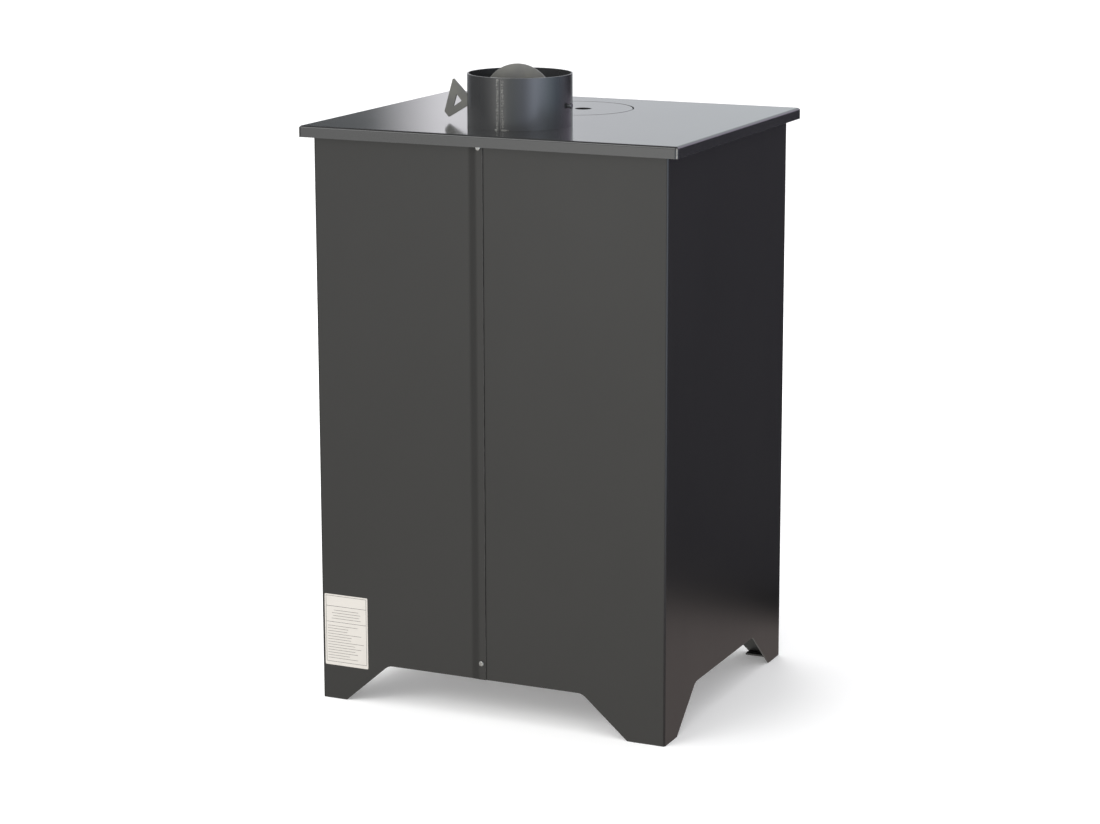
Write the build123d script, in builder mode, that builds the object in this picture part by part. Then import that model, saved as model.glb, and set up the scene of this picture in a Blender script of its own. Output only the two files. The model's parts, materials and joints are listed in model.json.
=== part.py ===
from build123d import *
import math
import os

os.makedirs("parts", exist_ok=True)

# Wood-burning stove with an oven above its firebox.
# Millimetres, +Z up, the floor at Z = 0. The doors face -Y, the flue collar stands at the back.
# The origin lies under the middle of the whole stove, handles and hob overhang counted in.
# Right and left are those of someone who stands in front of the doors: right is +X.

# Overall sizes
hob_height = 850.0
casing_width = 545.0
casing_depth = 465.0

# Casing sheets
casing_sheet = 1.5
casing_bend_radius = 3.0
seam_edge_x = 5.0
seam_lap_width = 10.5
seam_lap_play = 0.5
seam_joggle_run = 11.0
seam_bend_radius = 30.0
seam_screw_from_edge = 6.5
seam_screw_low_height = 85.4
seam_screw_below_hob = 18.5
seam_screw_head_radius = 4.0
seam_screw_head_height = 2.2
seam_screw_head_round = 1.3
seam_screw_recess_length = 4.4
seam_screw_recess_width = 0.9
seam_screw_recess_depth = 1.1
seam_screw_radius = 2.0
seam_screw_length = 8.0

# Skirt with cut-out feet
skirt_height = 61.0
skirt_slope_run = 70.0
skirt_corner_radius = 18.0
foot_tip_radius = 3.0
foot_width_side = 46.0
foot_width_front = 47.0
foot_width_back_right = 39.0
foot_width_back_left = 57.0

# Front panel
panel_sheet = 2.5
panel_flange = 20.0
front_stile_width = 82.5
opening_corner_radius = 2.0

# Hob plate
hob_overhang_side = 18.0
hob_overhang_back = 12.0
hob_sheet = 4.0
hob_rim_height = 16.5
hob_corner_radius = 4.5
hob_edge_radius = 4.2
lid_radius = 87.0
lid_gap = 1.5
lid_edge_break = 0.8
hole_edge_break = 0.5
lid_offset_x = 15.0
lid_offset_y = -102.0
finger_hole_radius = 12.0
finger_hole_shift = -14.0
seat_ring_width = 20.0
seat_ring_ledge = 10.0
seat_ring_sheet = 4.0

# Flue collar and damper
collar_radius = 75.0
collar_wall = 2.0
collar_height = 73.5
collar_below_hob = 6.0
collar_weld_gap = 0.2
collar_offset_x = 7.0
collar_offset_y = 106.0
collar_lap_width = 12.0
collar_lap_sheet = 1.5
damper_axis_height = 30.0
spindle_radius = 3.0
spindle_play = 0.05
spindle_end = 4.0
spindle_end_head_radius = 4.2
spindle_end_head = 2.0
disc_radius = 57.0
disc_sheet = 2.0
strap_sheet = 1.5
strap_width = 10.0
strap_ear = 9.0
strap_spacing = 60.0
lever_sheet = 3.0
lever_start = 3.0
lever_top = (30.5, 32.0)
lever_outer = (44.5, -17.0)
lever_bottom = (37.5, -25.0)
lever_apex_half = 4.5
lever_hole = ((24.8, 9.0), (17.0, -0.5), (30.5, -9.6))
lever_corner_radius = 1.5

# Blank rating label
label_width = 71.0
label_height = 108.0
label_thickness = 0.3
label_from_corner = 4.5
label_base_height = 51.4

# Inner body
side_air_gap = 20.0
body_sheet = 3.0
body_floor_top = 75.0

# Firebox
fire_sill = 25.0
fire_above_ash = 40.0
brick_thickness = 28.0
brick_below_lintel = 25.0
brick_front_gap = 17.0
brick_edge_break = 2.5
grate_length = 280.0
grate_width = 230.0
grate_height = 14.0
grate_lip = 10.0
grate_edge_radius = 3.5
grate_rib_depth = 10.0
grate_play = 1.0
grate_slot_count = 11
grate_slot_width = 10.0
grate_slot_margin = 18.0
retainer_sheet = 4.0
retainer_height = 48.0
retainer_front_gap = 22.0
retainer_slot_count = 5
retainer_slot_pitch = 80.0
retainer_slot_width = 50.0
retainer_slot_height = 14.0

# Oven
oven_below_hob = 80.0
oven_opening_height = 270.0
oven_above_fire = 50.0
oven_sheet = 2.0
oven_back_gap = 45.0
shield_sheet = 3.0
shield_gap = 10.0
shield_spacer_radius = 8.0
shield_margin = 30.0
rail_sheet = 1.5
rail_ledge = 12.0
rail_heights = (60.0, 120.0, 180.0)
rail_front_gap = 25.0
rail_length = 330.0
shelf_level = 1
shelf_frame_radius = 3.0
shelf_rod_radius = 2.0
shelf_rod_count = 11
shelf_side_play = 4.0
shelf_length = 320.0
shelf_corner_radius = 15.0

# Doors, the same pattern for the firebox and the oven
door_overlap = 16.0
door_gap = 2.0
door_depth = 18.0
door_sheet = 3.0
door_edge_radius = 2.0
door_corner_radius = 6.0
window_margin_side = 78.0
window_margin_level = 52.0
window_corner_radius = 12.0
glass_thickness = 4.0
glass_overlap = 14.0
clip_width = 24.0
clip_sheet = 1.5
clip_grip = 8.0
clip_screw_radius = 3.0
clip_screw_head = 3.0
liner_sheet = 2.0
liner_recess = 2.0
gasket_width = 10.0
gasket_inset = 3.0
gasket_edge_radius = 0.85
running_gap = 0.3

# Hinges
hinge_axis_out = 10.0
hinge_axis_side = 9.0
hinge_barrel_radius = 6.0
hinge_barrel_length = 22.0
hinge_pin_radius = 4.0
hinge_play = 0.05
hinge_from_edge = 45.0
hinge_tab_thickness = 5.0
hinge_leaf_sheet = 3.0
hinge_leaf_width = 34.0
hinge_leaf_height = 34.0

# Door handles and latches
latch_inset = 32.0
latch_spindle_radius = 5.0
latch_play = 0.05
hub_radius = 11.0
hub_height = 9.0
hub_edge_radius = 2.2
handle_standoff = 28.0
handle_rod_radius = 4.0
handle_length = 112.0
handle_bend_radius = 10.0
grip_radius = 10.0
grip_length = 82.0
grip_end_radius = 5.0
cam_length = 29.0
cam_width = 14.0
cam_rim = 2.0
cam_thickness = 4.0
cam_gap = 0.5
keeper_thickness = 4.0
keeper_reach = 14.0
keeper_height = 34.0

# Oven thermometer
dial_radius = 21.0
bezel_wall = 1.5
bezel_height = 8.0
bezel_edge_radius = 0.7
dial_sheet = 0.8
dial_depth = 4.5
needle_length = 15.0
needle_width = 1.8
needle_thickness = 0.6
needle_hub_radius = 3.0
needle_pin_radius = 0.8
needle_play = 0.05
needle_cold_angle = 225.0
needle_lift = 1.0
lens_thickness = 1.2
stem_radius = 3.0
stem_length = 60.0
stem_play = 0.3
thermometer_drop = 25.0

# Ash drawer
ash_opening_height = 85.0
drawer_play = 2.0
drawer_sheet = 1.5
drawer_height = 60.0
drawer_length = 350.0
drawer_front_gap = 1.0
drawer_front_depth = 14.0
drawer_front_sheet = 2.0
drawer_front_edge_radius = 1.5
drawer_front_overlap = 10.0
runner_width = 10.0
runner_height = 12.0
runner_length = 320.0
runner_play = 0.5
bow_span = 120.0
bow_reach = 32.0
bow_radius = 5.0
bow_bend_radius = 12.0
bow_height = 102.0
slot_count = 3
slot_length = 24.0
slot_height = 10.0
slot_pitch = 55.0
slot_centre_height = 148.0
slider_sheet = 2.0
slider_half_height = 11.0
slider_length = 170.0
slider_knob_radius = 7.0
slider_knob_length = 14.0
slider_neck_radius = 4.0
slider_neck_length = 6.0
slider_knob_edge_radius = 2.0
guide_sheet = 1.5
guide_lip = 3.0
guide_foot = 6.0
guide_length = 130.0

# Places worked out from the sizes above
front_reach = door_gap + door_depth + handle_standoff + grip_radius
casing_centre_y = (front_reach - hob_overhang_back) / 2
casing_front_y = casing_centre_y - casing_depth / 2
casing_back_y = casing_centre_y + casing_depth / 2
casing_half = casing_width / 2
hob_underside = hob_height - hob_sheet
panel_half = casing_half - casing_sheet
opening_half_width = casing_half - front_stile_width
panel_back_y = casing_front_y + panel_sheet
seam_joggle_x = seam_edge_x + seam_lap_width
seam_foot_x = seam_joggle_x + seam_joggle_run
seam_outer_y = casing_back_y + casing_sheet
seam_screw_x = seam_edge_x + seam_screw_from_edge
seam_screw_heights = (seam_screw_low_height, hob_height - seam_screw_below_hob)
body_half = panel_half - side_air_gap
body_inside = body_half - body_sheet
body_back_outer_y = casing_back_y - casing_sheet - side_air_gap
body_back_inner_y = body_back_outer_y - body_sheet
collar_x = collar_offset_x
collar_y = casing_centre_y + collar_offset_y
lid_x = lid_offset_x
lid_y = casing_centre_y + lid_offset_y
damper_axis_z = hob_height + damper_axis_height
door_half = opening_half_width + door_overlap
door_back_y = casing_front_y - door_gap
door_face_y = door_back_y - door_depth
liner_back_y = door_back_y - liner_recess
latch_x = opening_half_width - latch_inset
oven_back_y = body_back_inner_y - oven_back_gap
ash_opening_low = body_floor_top
ash_opening_high = ash_opening_low + ash_opening_height
oven_opening_high = hob_height - oven_below_hob
oven_opening_low = oven_opening_high - oven_opening_height
fire_opening_low = ash_opening_high + fire_above_ash
fire_opening_high = oven_opening_low - oven_above_fire
firebox_floor_top = fire_opening_low - fire_sill
drawer_face_y = casing_front_y - drawer_front_gap - drawer_front_depth
far = 2 * hob_height


def finish(piece, name):
    """Labels a finished piece and writes its file."""
    piece.part.label = name
    export_step(piece.part, f"parts/{name}.step")


def slab(x_span, y_span, z_span, mode=Mode.ADD):
    """Adds to the part in hand, or takes from it, the block between three pairs of limits."""
    spans = (x_span, y_span, z_span)
    with Locations(tuple((low + high) / 2 for low, high in spans)):
        Box(*(high - low for low, high in spans), mode=mode)


def rod(start, end, radius, mode=Mode.ADD):
    """Adds to the part in hand, or takes from it, a round rod from one point to another."""
    way = Vector(*end) - Vector(*start)
    with Locations(Plane(origin=start, z_dir=way)):
        Cylinder(radius, way.length, align=(Align.CENTER, Align.CENTER, Align.MIN), mode=mode)


def skirt_cut(low, high):
    """The corners of the gap between two feet, with its slanted sides, along a skirt's length."""
    return (
        (low, 0),
        (low + skirt_slope_run, skirt_height),
        (high - skirt_slope_run, skirt_height),
        (high, 0),
        (high, -skirt_height),
        (low, -skirt_height),
    )


def foot_tips(shape, across, thickness):
    """The short corner edges of the feet at the floor, those that cross the sheet."""
    return (
        shape.edges()
        .filter_by(across)
        .filter_by(lambda edge: edge.length < 2 * thickness)
        .filter_by(lambda edge: edge.center().Z < thickness / 2)
        .filter_by(lambda edge: edge.center().Y > casing_front_y + thickness or across == Axis.Y)
    )


# Gaps between the feet, as cutters for the back, the front and both sides
side_arch = (casing_front_y + foot_width_side, casing_back_y - foot_width_side)
back_arch = (-casing_half + foot_width_back_left, casing_half - foot_width_back_right)
front_arch = (-casing_half + foot_width_front, casing_half - foot_width_front)
skirt_gaps = []
for plane, arch, length in (
    (Plane.XZ.offset(-casing_centre_y), back_arch, -far),
    (Plane.XZ.offset(-casing_centre_y), front_arch, far),
    (Plane.YZ.offset(-far), side_arch, 2 * far),
):
    with BuildPart() as skirt_gap:
        with BuildSketch(plane) as gap_outline:
            with BuildLine():
                Polyline(*skirt_cut(*arch), close=True)
            make_face()
            fillet(gap_outline.vertices().group_by(Axis.Y)[-1], radius=skirt_corner_radius)
        extrude(amount=length)
    skirt_gaps.append(skirt_gap.part)

# Casing: two bent sheets, each a side and part of the back. The right one laps over the left one.
joggle_shift = casing_sheet * math.tan(math.atan2(casing_sheet, seam_joggle_run) / 2)
right_outline = (
    (casing_half, casing_front_y),
    (casing_half, casing_back_y),
    (seam_foot_x, casing_back_y),
    (seam_joggle_x, seam_outer_y),
    (seam_edge_x, seam_outer_y),
    (seam_edge_x, casing_back_y),
    (seam_joggle_x - joggle_shift, casing_back_y),
    (seam_foot_x - joggle_shift, casing_back_y - casing_sheet),
    (casing_half - casing_sheet, casing_back_y - casing_sheet),
    (casing_half - casing_sheet, casing_front_y),
)
left_outline = (
    (-casing_half, casing_front_y),
    (-casing_half, casing_back_y),
    (seam_joggle_x - seam_lap_play, casing_back_y),
    (seam_joggle_x - seam_lap_play, casing_back_y - casing_sheet),
    (-casing_half + casing_sheet, casing_back_y - casing_sheet),
    (-casing_half + casing_sheet, casing_front_y),
)
for name, side, outline in (
    ("casing_shell_right", 1, right_outline),
    ("casing_shell_left", -1, left_outline),
):
    with BuildPart() as casing_shell:
        with BuildSketch() as shell_plan:
            with BuildLine():
                Polyline(*outline, close=True)
            make_face()
            bend = shell_plan.vertices().sort_by_distance((side * casing_half, casing_back_y, 0))
            fillet(bend[0], radius=casing_bend_radius)
            bend = shell_plan.vertices().sort_by_distance(
                (side * (casing_half - casing_sheet), casing_back_y - casing_sheet, 0)
            )
            fillet(bend[0], radius=casing_bend_radius - casing_sheet)
            if side > 0:
                for corner in ((seam_foot_x, casing_back_y, 0), (seam_joggle_x, seam_outer_y, 0)):
                    bend = shell_plan.vertices().sort_by_distance(corner)
                    fillet(bend[0], radius=seam_bend_radius)
        extrude(amount=hob_underside)
        add(skirt_gaps, mode=Mode.SUBTRACT)
        for across in (Axis.X, Axis.Y):
            fillet(foot_tips(casing_shell, across, casing_sheet), radius=foot_tip_radius)
        for height in seam_screw_heights:
            rod(
                (seam_screw_x, casing_back_y - seam_screw_length, height),
                (seam_screw_x, casing_back_y + seam_screw_length, height),
                seam_screw_radius,
                mode=Mode.SUBTRACT,
            )
    finish(casing_shell, name)

# Pan-head screws that hold the lap, with a cross recess
screw_top_y = seam_outer_y + seam_screw_head_height
recess_arms = (seam_screw_recess_length, seam_screw_recess_width)
with BuildPart() as casing_seam_screws:
    for height in seam_screw_heights:
        rod(
            (seam_screw_x, seam_outer_y, height),
            (seam_screw_x, screw_top_y, height),
            seam_screw_head_radius,
        )
    fillet(
        casing_seam_screws.edges().filter_by(GeomType.CIRCLE).group_by(Axis.Y)[-1],
        radius=seam_screw_head_round,
    )
    for height in seam_screw_heights:
        rod(
            (seam_screw_x, seam_outer_y - seam_screw_length, height),
            (seam_screw_x, seam_outer_y, height),
            seam_screw_radius,
        )
        recess_y = (screw_top_y - seam_screw_recess_depth, screw_top_y + seam_screw_recess_depth)
        for across, along in (recess_arms, recess_arms[::-1]):
            slab(
                (seam_screw_x - across / 2, seam_screw_x + across / 2),
                recess_y,
                (height - along / 2, height + along / 2),
                mode=Mode.SUBTRACT,
            )
finish(casing_seam_screws, "casing_seam_screws")

# Blank label, low on the back at the right-hand corner
label_right = casing_half - label_from_corner
with BuildPart() as rating_label:
    slab(
        (label_right - label_width, label_right),
        (casing_back_y, casing_back_y + label_thickness),
        (label_base_height, label_base_height + label_height),
    )
finish(rating_label, "rating_label")

# Front panel: sides turned back inside the casing, feet with a base flange, three openings
openings = (
    (ash_opening_low, ash_opening_high),
    (fire_opening_low, fire_opening_high),
    (oven_opening_low, oven_opening_high),
)
with BuildPart() as front_panel:
    with BuildSketch() as panel_plan:
        with BuildLine():
            Polyline(
                (-panel_half, casing_front_y),
                (panel_half, casing_front_y),
                (panel_half, casing_front_y + panel_flange),
                (panel_half - panel_sheet, casing_front_y + panel_flange),
                (panel_half - panel_sheet, panel_back_y),
                (-panel_half + panel_sheet, panel_back_y),
                (-panel_half + panel_sheet, casing_front_y + panel_flange),
                (-panel_half, casing_front_y + panel_flange),
                close=True,
            )
        make_face()
        fillet(panel_plan.vertices().group_by(Axis.Y)[0], radius=panel_sheet)
    extrude(amount=hob_underside)
    add(skirt_gaps, mode=Mode.SUBTRACT)
    with BuildSketch(Plane.XZ):
        for low, high in openings:
            with Locations((0, (low + high) / 2)):
                RectangleRounded(2 * opening_half_width, high - low, opening_corner_radius)
    extrude(amount=far, both=True, mode=Mode.SUBTRACT)
    for side in (-1, 1):
        foot_inner = side * (casing_half - foot_width_front)
        foot_outer = side * (panel_half - panel_sheet)
        slab(
            (min(foot_inner, foot_outer), max(foot_inner, foot_outer)),
            (panel_back_y, casing_front_y + panel_flange),
            (0, panel_sheet),
        )
finish(front_panel, "front_panel")

# Hob plate with a folded-down rim
hob_width = casing_width + 2 * hob_overhang_side
hob_depth = casing_depth + 2 * hob_overhang_back
with BuildPart() as top_plate:
    with BuildSketch(Plane.XY.offset(hob_height)):
        with Locations((0, casing_centre_y)):
            RectangleRounded(hob_width, hob_depth, hob_corner_radius)
    extrude(amount=-hob_rim_height)
    fillet(top_plate.faces().sort_by(Axis.Z)[-1].edges(), radius=hob_edge_radius)
    with BuildSketch(Plane.XY.offset(hob_underside)):
        with Locations((0, casing_centre_y)):
            Rectangle(hob_width - 2 * hob_sheet, hob_depth - 2 * hob_sheet)
    extrude(amount=-hob_rim_height, mode=Mode.SUBTRACT)
    with BuildSketch(Plane.XY.offset(hob_height)):
        with Locations((collar_x, collar_y)):
            Circle(collar_radius + collar_weld_gap)
        with Locations((lid_x, lid_y)):
            Circle(lid_radius + lid_gap)
    extrude(amount=-hob_rim_height, mode=Mode.SUBTRACT)
    lid_hole = top_plate.edges().filter_by(GeomType.CIRCLE).filter_by(
        lambda edge: edge.radius > collar_radius + collar_wall and edge.center().Z > hob_underside
    )
    chamfer(lid_hole, length=hole_edge_break)
finish(top_plate, "top_plate")

# Ledge under the hob for the lid
with BuildPart() as lid_seat_ring:
    with BuildSketch(Plane.XY.offset(hob_underside)):
        with Locations((lid_x, lid_y)):
            Circle(lid_radius - seat_ring_ledge + seat_ring_width)
            Circle(lid_radius - seat_ring_ledge, mode=Mode.SUBTRACT)
    extrude(amount=-seat_ring_sheet)
finish(lid_seat_ring, "lid_seat_ring")

# Lift-off lid, flush with the hob, with a hole for the lifting hook
with BuildPart() as hotplate_lid:
    with BuildSketch(Plane.XY.offset(hob_height)):
        with Locations((lid_x, lid_y)):
            Circle(lid_radius)
        with Locations((lid_x + finger_hole_shift, lid_y)):
            Circle(finger_hole_radius, mode=Mode.SUBTRACT)
    extrude(amount=-(hob_sheet - running_gap))
    chamfer(hotplate_lid.edges().group_by(Axis.Z)[-1], length=lid_edge_break)
finish(hotplate_lid, "hotplate_lid")

# Flue collar: one rolled sheet. Its end laps inside at the back, so the outside stays round.
lap_angle = math.degrees(collar_lap_width / collar_radius)
collar_inside = collar_radius - collar_wall
collar_centre = Vector(collar_x, collar_y)
with BuildPart() as flue_collar:
    with BuildSketch(Plane.XY.offset(hob_underside - collar_below_hob)):
        with Locations((collar_x, collar_y)):
            Circle(collar_radius)
            Circle(collar_inside, mode=Mode.SUBTRACT)
        with BuildLine():
            CenterArc(collar_centre, collar_inside + collar_wall / 2, 90, -lap_angle)
            CenterArc(collar_centre, collar_inside - collar_lap_sheet, 90, -lap_angle)
            for turn in (90, 90 - lap_angle):
                outward = Vector(1, 0).rotate(Axis.Z, turn)
                Line(
                    collar_centre + outward * (collar_inside - collar_lap_sheet),
                    collar_centre + outward * (collar_inside + collar_wall / 2),
                )
        make_face()
    extrude(amount=hob_sheet + collar_below_hob + collar_height)
    rod(
        (collar_x - 2 * collar_radius, collar_y, damper_axis_z),
        (collar_x + 2 * collar_radius, collar_y, damper_axis_z),
        spindle_radius + spindle_play,
        mode=Mode.SUBTRACT,
    )
finish(flue_collar, "flue_collar")

# Damper: spindle across the collar, disc beside it, triangular lever at its right-hand end
spindle_left = collar_x - collar_radius - spindle_end
spindle_right = collar_x + collar_radius + lever_start
disc_near_y = collar_y + spindle_radius
with BuildPart() as damper_spindle:
    rod(
        (spindle_left, collar_y, damper_axis_z),
        (spindle_right, collar_y, damper_axis_z),
        spindle_radius,
    )
    rod(
        (spindle_left - spindle_end_head, collar_y, damper_axis_z),
        (spindle_left, collar_y, damper_axis_z),
        spindle_end_head_radius,
    )
    fillet(damper_spindle.edges().group_by(Axis.X)[0], radius=spindle_end_head / 2)
finish(damper_spindle, "damper_spindle")

with BuildPart() as damper_disc:
    with BuildSketch(Plane(origin=(collar_x, disc_near_y, damper_axis_z), z_dir=(0, 1, 0))):
        Circle(disc_radius)
    extrude(amount=disc_sheet)
finish(damper_disc, "damper_disc")

# Straps that clasp the spindle and are spot-welded to the disc by their ears
strap_outer = spindle_radius + strap_sheet
with BuildPart() as damper_straps:
    for place in (-strap_spacing / 2, strap_spacing / 2):
        strap_centre = (collar_x + place, collar_y, damper_axis_z)
        strap_plane = Plane(origin=strap_centre, z_dir=(1, 0, 0), x_dir=(0, 0, 1))
        with BuildSketch(strap_plane):
            Circle(strap_outer)
            with Locations((0, -spindle_radius)):
                Rectangle(2 * strap_outer, spindle_radius, align=(Align.CENTER, Align.MIN))
                Rectangle(2 * (strap_outer + strap_ear), strap_sheet, align=(Align.CENTER, Align.MIN))
            Circle(spindle_radius, mode=Mode.SUBTRACT)
            with Locations((0, -spindle_radius)):
                Rectangle(
                    2 * spindle_radius, spindle_radius, align=(Align.CENTER, Align.MIN), mode=Mode.SUBTRACT
                )
                Rectangle(far, far, align=(Align.CENTER, Align.MAX), mode=Mode.SUBTRACT)
        extrude(amount=strap_width / 2, both=True)
finish(damper_straps, "damper_straps")

with BuildPart() as damper_handle:
    lever_plane = Plane(
        origin=(collar_x + collar_radius, collar_y, damper_axis_z), x_dir=(1, 0, 0), z_dir=(0, -1, 0)
    )
    with BuildSketch(lever_plane) as lever_outline:
        with BuildLine():
            Polyline(
                (lever_start, lever_apex_half),
                lever_top,
                lever_outer,
                lever_bottom,
                (lever_start, -lever_apex_half),
                close=True,
            )
        make_face()
        fillet(lever_outline.vertices().sort_by(Axis.X)[-3:], radius=lever_corner_radius)
        with BuildLine():
            Polyline(*lever_hole, close=True)
        make_face(mode=Mode.SUBTRACT)
    extrude(amount=lever_sheet / 2, both=True)
finish(damper_handle, "damper_handle")

# Inner body, welded from plain sheets under the hob and behind the front panel
for name, side in (("body_side_right", 1), ("body_side_left", -1)):
    with BuildPart() as body_side:
        slab(
            sorted((side * body_inside, side * body_half)),
            (panel_back_y, body_back_outer_y),
            (body_floor_top - body_sheet, hob_underside),
        )
    finish(body_side, name)

with BuildPart() as body_back:
    slab(
        (-body_inside, body_inside),
        (body_back_inner_y, body_back_outer_y),
        (body_floor_top - body_sheet, hob_underside),
    )
finish(body_back, "body_back")

with BuildPart() as body_floor:
    slab(
        (-body_inside, body_inside),
        (panel_back_y, body_back_inner_y),
        (body_floor_top - body_sheet, body_floor_top),
    )
finish(body_floor, "body_floor")

# Firebox floor with the grate in its opening
grate_centre_y = (panel_back_y + body_back_inner_y - brick_thickness) / 2
with BuildPart() as firebox_floor:
    slab(
        (-body_inside, body_inside),
        (panel_back_y, body_back_inner_y),
        (firebox_floor_top - body_sheet, firebox_floor_top),
    )
    with BuildSketch(Plane.XY.offset(firebox_floor_top)):
        with Locations((0, grate_centre_y)):
            Rectangle(grate_length - 2 * grate_lip, grate_width - 2 * grate_lip)
    extrude(amount=-body_sheet, mode=Mode.SUBTRACT)
finish(firebox_floor, "firebox_floor")

with BuildPart() as grate:
    with BuildSketch(Plane.XY.offset(firebox_floor_top)):
        with Locations((0, grate_centre_y)):
            RectangleRounded(grate_length, grate_width, grate_lip)
    extrude(amount=grate_height)
    fillet(grate.faces().sort_by(Axis.Z)[-1].edges(), radius=grate_edge_radius)
    with BuildSketch(Plane.XY.offset(firebox_floor_top)):
        with Locations((0, grate_centre_y)):
            Rectangle(
                grate_length - 2 * (grate_lip + grate_play),
                grate_width - 2 * (grate_lip + grate_play),
            )
    extrude(amount=-grate_rib_depth)
    slot_run = grate_width - 2 * grate_slot_margin
    slot_step = (grate_length - 2 * grate_slot_margin) / grate_slot_count
    with BuildSketch(Plane.XY.offset(firebox_floor_top + grate_height)):
        with Locations((0, grate_centre_y)):
            with GridLocations(slot_step, 0, grate_slot_count, 1):
                SlotOverall(slot_run, grate_slot_width, rotation=90)
    extrude(amount=-(grate_height + grate_rib_depth), mode=Mode.SUBTRACT)
finish(grate, "grate")

# Fireclay bricks along the two sides and the back of the firebox
brick_top = fire_opening_high - brick_below_lintel
brick_inner_x = body_inside - brick_thickness
for name, side in (("firebrick_right", 1), ("firebrick_left", -1)):
    with BuildPart() as firebrick_side:
        slab(
            sorted((side * brick_inner_x, side * body_inside)),
            (panel_back_y + brick_front_gap, body_back_inner_y),
            (firebox_floor_top, brick_top),
        )
        chamfer(firebrick_side.faces().sort_by(Axis.Z)[-1].edges(), length=brick_edge_break)
    finish(firebrick_side, name)

with BuildPart() as firebrick_back:
    slab(
        (-brick_inner_x, brick_inner_x),
        (body_back_inner_y - brick_thickness, body_back_inner_y),
        (firebox_floor_top, brick_top),
    )
    chamfer(firebrick_back.faces().sort_by(Axis.Z)[-1].edges(), length=brick_edge_break)
finish(firebrick_back, "firebrick_back")

# Bar across the front of the fire, standing between the side bricks
retainer_y = panel_back_y + retainer_front_gap
with BuildPart() as log_retainer:
    slab(
        (-brick_inner_x, brick_inner_x),
        (retainer_y, retainer_y + retainer_sheet),
        (firebox_floor_top, firebox_floor_top + retainer_height),
    )
    with BuildSketch(Plane.XZ.offset(-retainer_y)):
        with Locations((0, firebox_floor_top + retainer_height / 2)):
            with GridLocations(retainer_slot_pitch, 0, retainer_slot_count, 1):
                Rectangle(retainer_slot_width, retainer_slot_height)
    extrude(amount=-retainer_sheet, mode=Mode.SUBTRACT)
finish(log_retainer, "log_retainer")

# Oven box, welded to the front panel around its opening
oven_outer_half = opening_half_width + oven_sheet
with BuildPart() as oven_box:
    slab(
        (-oven_outer_half, oven_outer_half),
        (panel_back_y, oven_back_y),
        (oven_opening_low - oven_sheet, oven_opening_high + oven_sheet),
    )
    slab(
        (-opening_half_width, opening_half_width),
        (panel_back_y - oven_sheet, oven_back_y - oven_sheet),
        (oven_opening_low, oven_opening_high),
        mode=Mode.SUBTRACT,
    )
finish(oven_box, "oven_box")

# Plate that keeps the flame off the oven floor, hung on four spacers
shield_top = oven_opening_low - oven_sheet - shield_gap
with BuildPart() as oven_heat_shield:
    slab(
        (-opening_half_width + shield_margin, opening_half_width - shield_margin),
        (panel_back_y + shield_margin, oven_back_y - shield_margin),
        (shield_top - shield_sheet, shield_top),
    )
    for corner_x in (-opening_half_width + 2 * shield_margin, opening_half_width - 2 * shield_margin):
        for corner_y in (panel_back_y + 2 * shield_margin, oven_back_y - 2 * shield_margin):
            spacer_foot = (corner_x, corner_y, shield_top)
            spacer_head = (corner_x, corner_y, shield_top + shield_gap)
            rod(spacer_foot, spacer_head, shield_spacer_radius)
finish(oven_heat_shield, "oven_heat_shield")

# Shelf rails on the oven's side walls
rail_front_y = panel_back_y + rail_front_gap
rail_face_x = opening_half_width - rail_sheet
rail_ledge_x = opening_half_width - rail_ledge
with BuildPart() as oven_rails:
    for side in (-1, 1):
        for level in rail_heights:
            shelf_z = oven_opening_low + level
            slab(
                sorted((side * rail_face_x, side * opening_half_width)),
                (rail_front_y, rail_front_y + rail_length),
                (shelf_z - rail_ledge, shelf_z),
            )
            slab(
                sorted((side * rail_face_x, side * rail_ledge_x)),
                (rail_front_y, rail_front_y + rail_length),
                (shelf_z - rail_sheet, shelf_z),
            )
finish(oven_rails, "oven_rails")

# Wire shelf on the middle rails
shelf_half = opening_half_width - rail_sheet - shelf_side_play
shelf_centre_z = oven_opening_low + rail_heights[shelf_level] + shelf_frame_radius
shelf_front_y = rail_front_y
shelf_back_y = shelf_front_y + shelf_length
with BuildPart() as oven_shelf:
    with BuildLine() as shelf_path:
        FilletPolyline(
            (-shelf_half + shelf_frame_radius, shelf_front_y + shelf_frame_radius, shelf_centre_z),
            (shelf_half - shelf_frame_radius, shelf_front_y + shelf_frame_radius, shelf_centre_z),
            (shelf_half - shelf_frame_radius, shelf_back_y - shelf_frame_radius, shelf_centre_z),
            (-shelf_half + shelf_frame_radius, shelf_back_y - shelf_frame_radius, shelf_centre_z),
            radius=shelf_corner_radius,
            close=True,
        )
    with BuildSketch(Plane(origin=shelf_path.line @ 0, z_dir=shelf_path.line % 0)):
        Circle(shelf_frame_radius)
    sweep(path=shelf_path.line)
    rod_step = 2 * shelf_half / (shelf_rod_count + 1)
    for index in range(shelf_rod_count):
        rod_x = -shelf_half + rod_step * (index + 1)
        rod(
            (rod_x, shelf_front_y + shelf_frame_radius, shelf_centre_z),
            (rod_x, shelf_back_y - shelf_frame_radius, shelf_centre_z),
            shelf_rod_radius,
        )
finish(oven_shelf, "oven_shelf")


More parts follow.
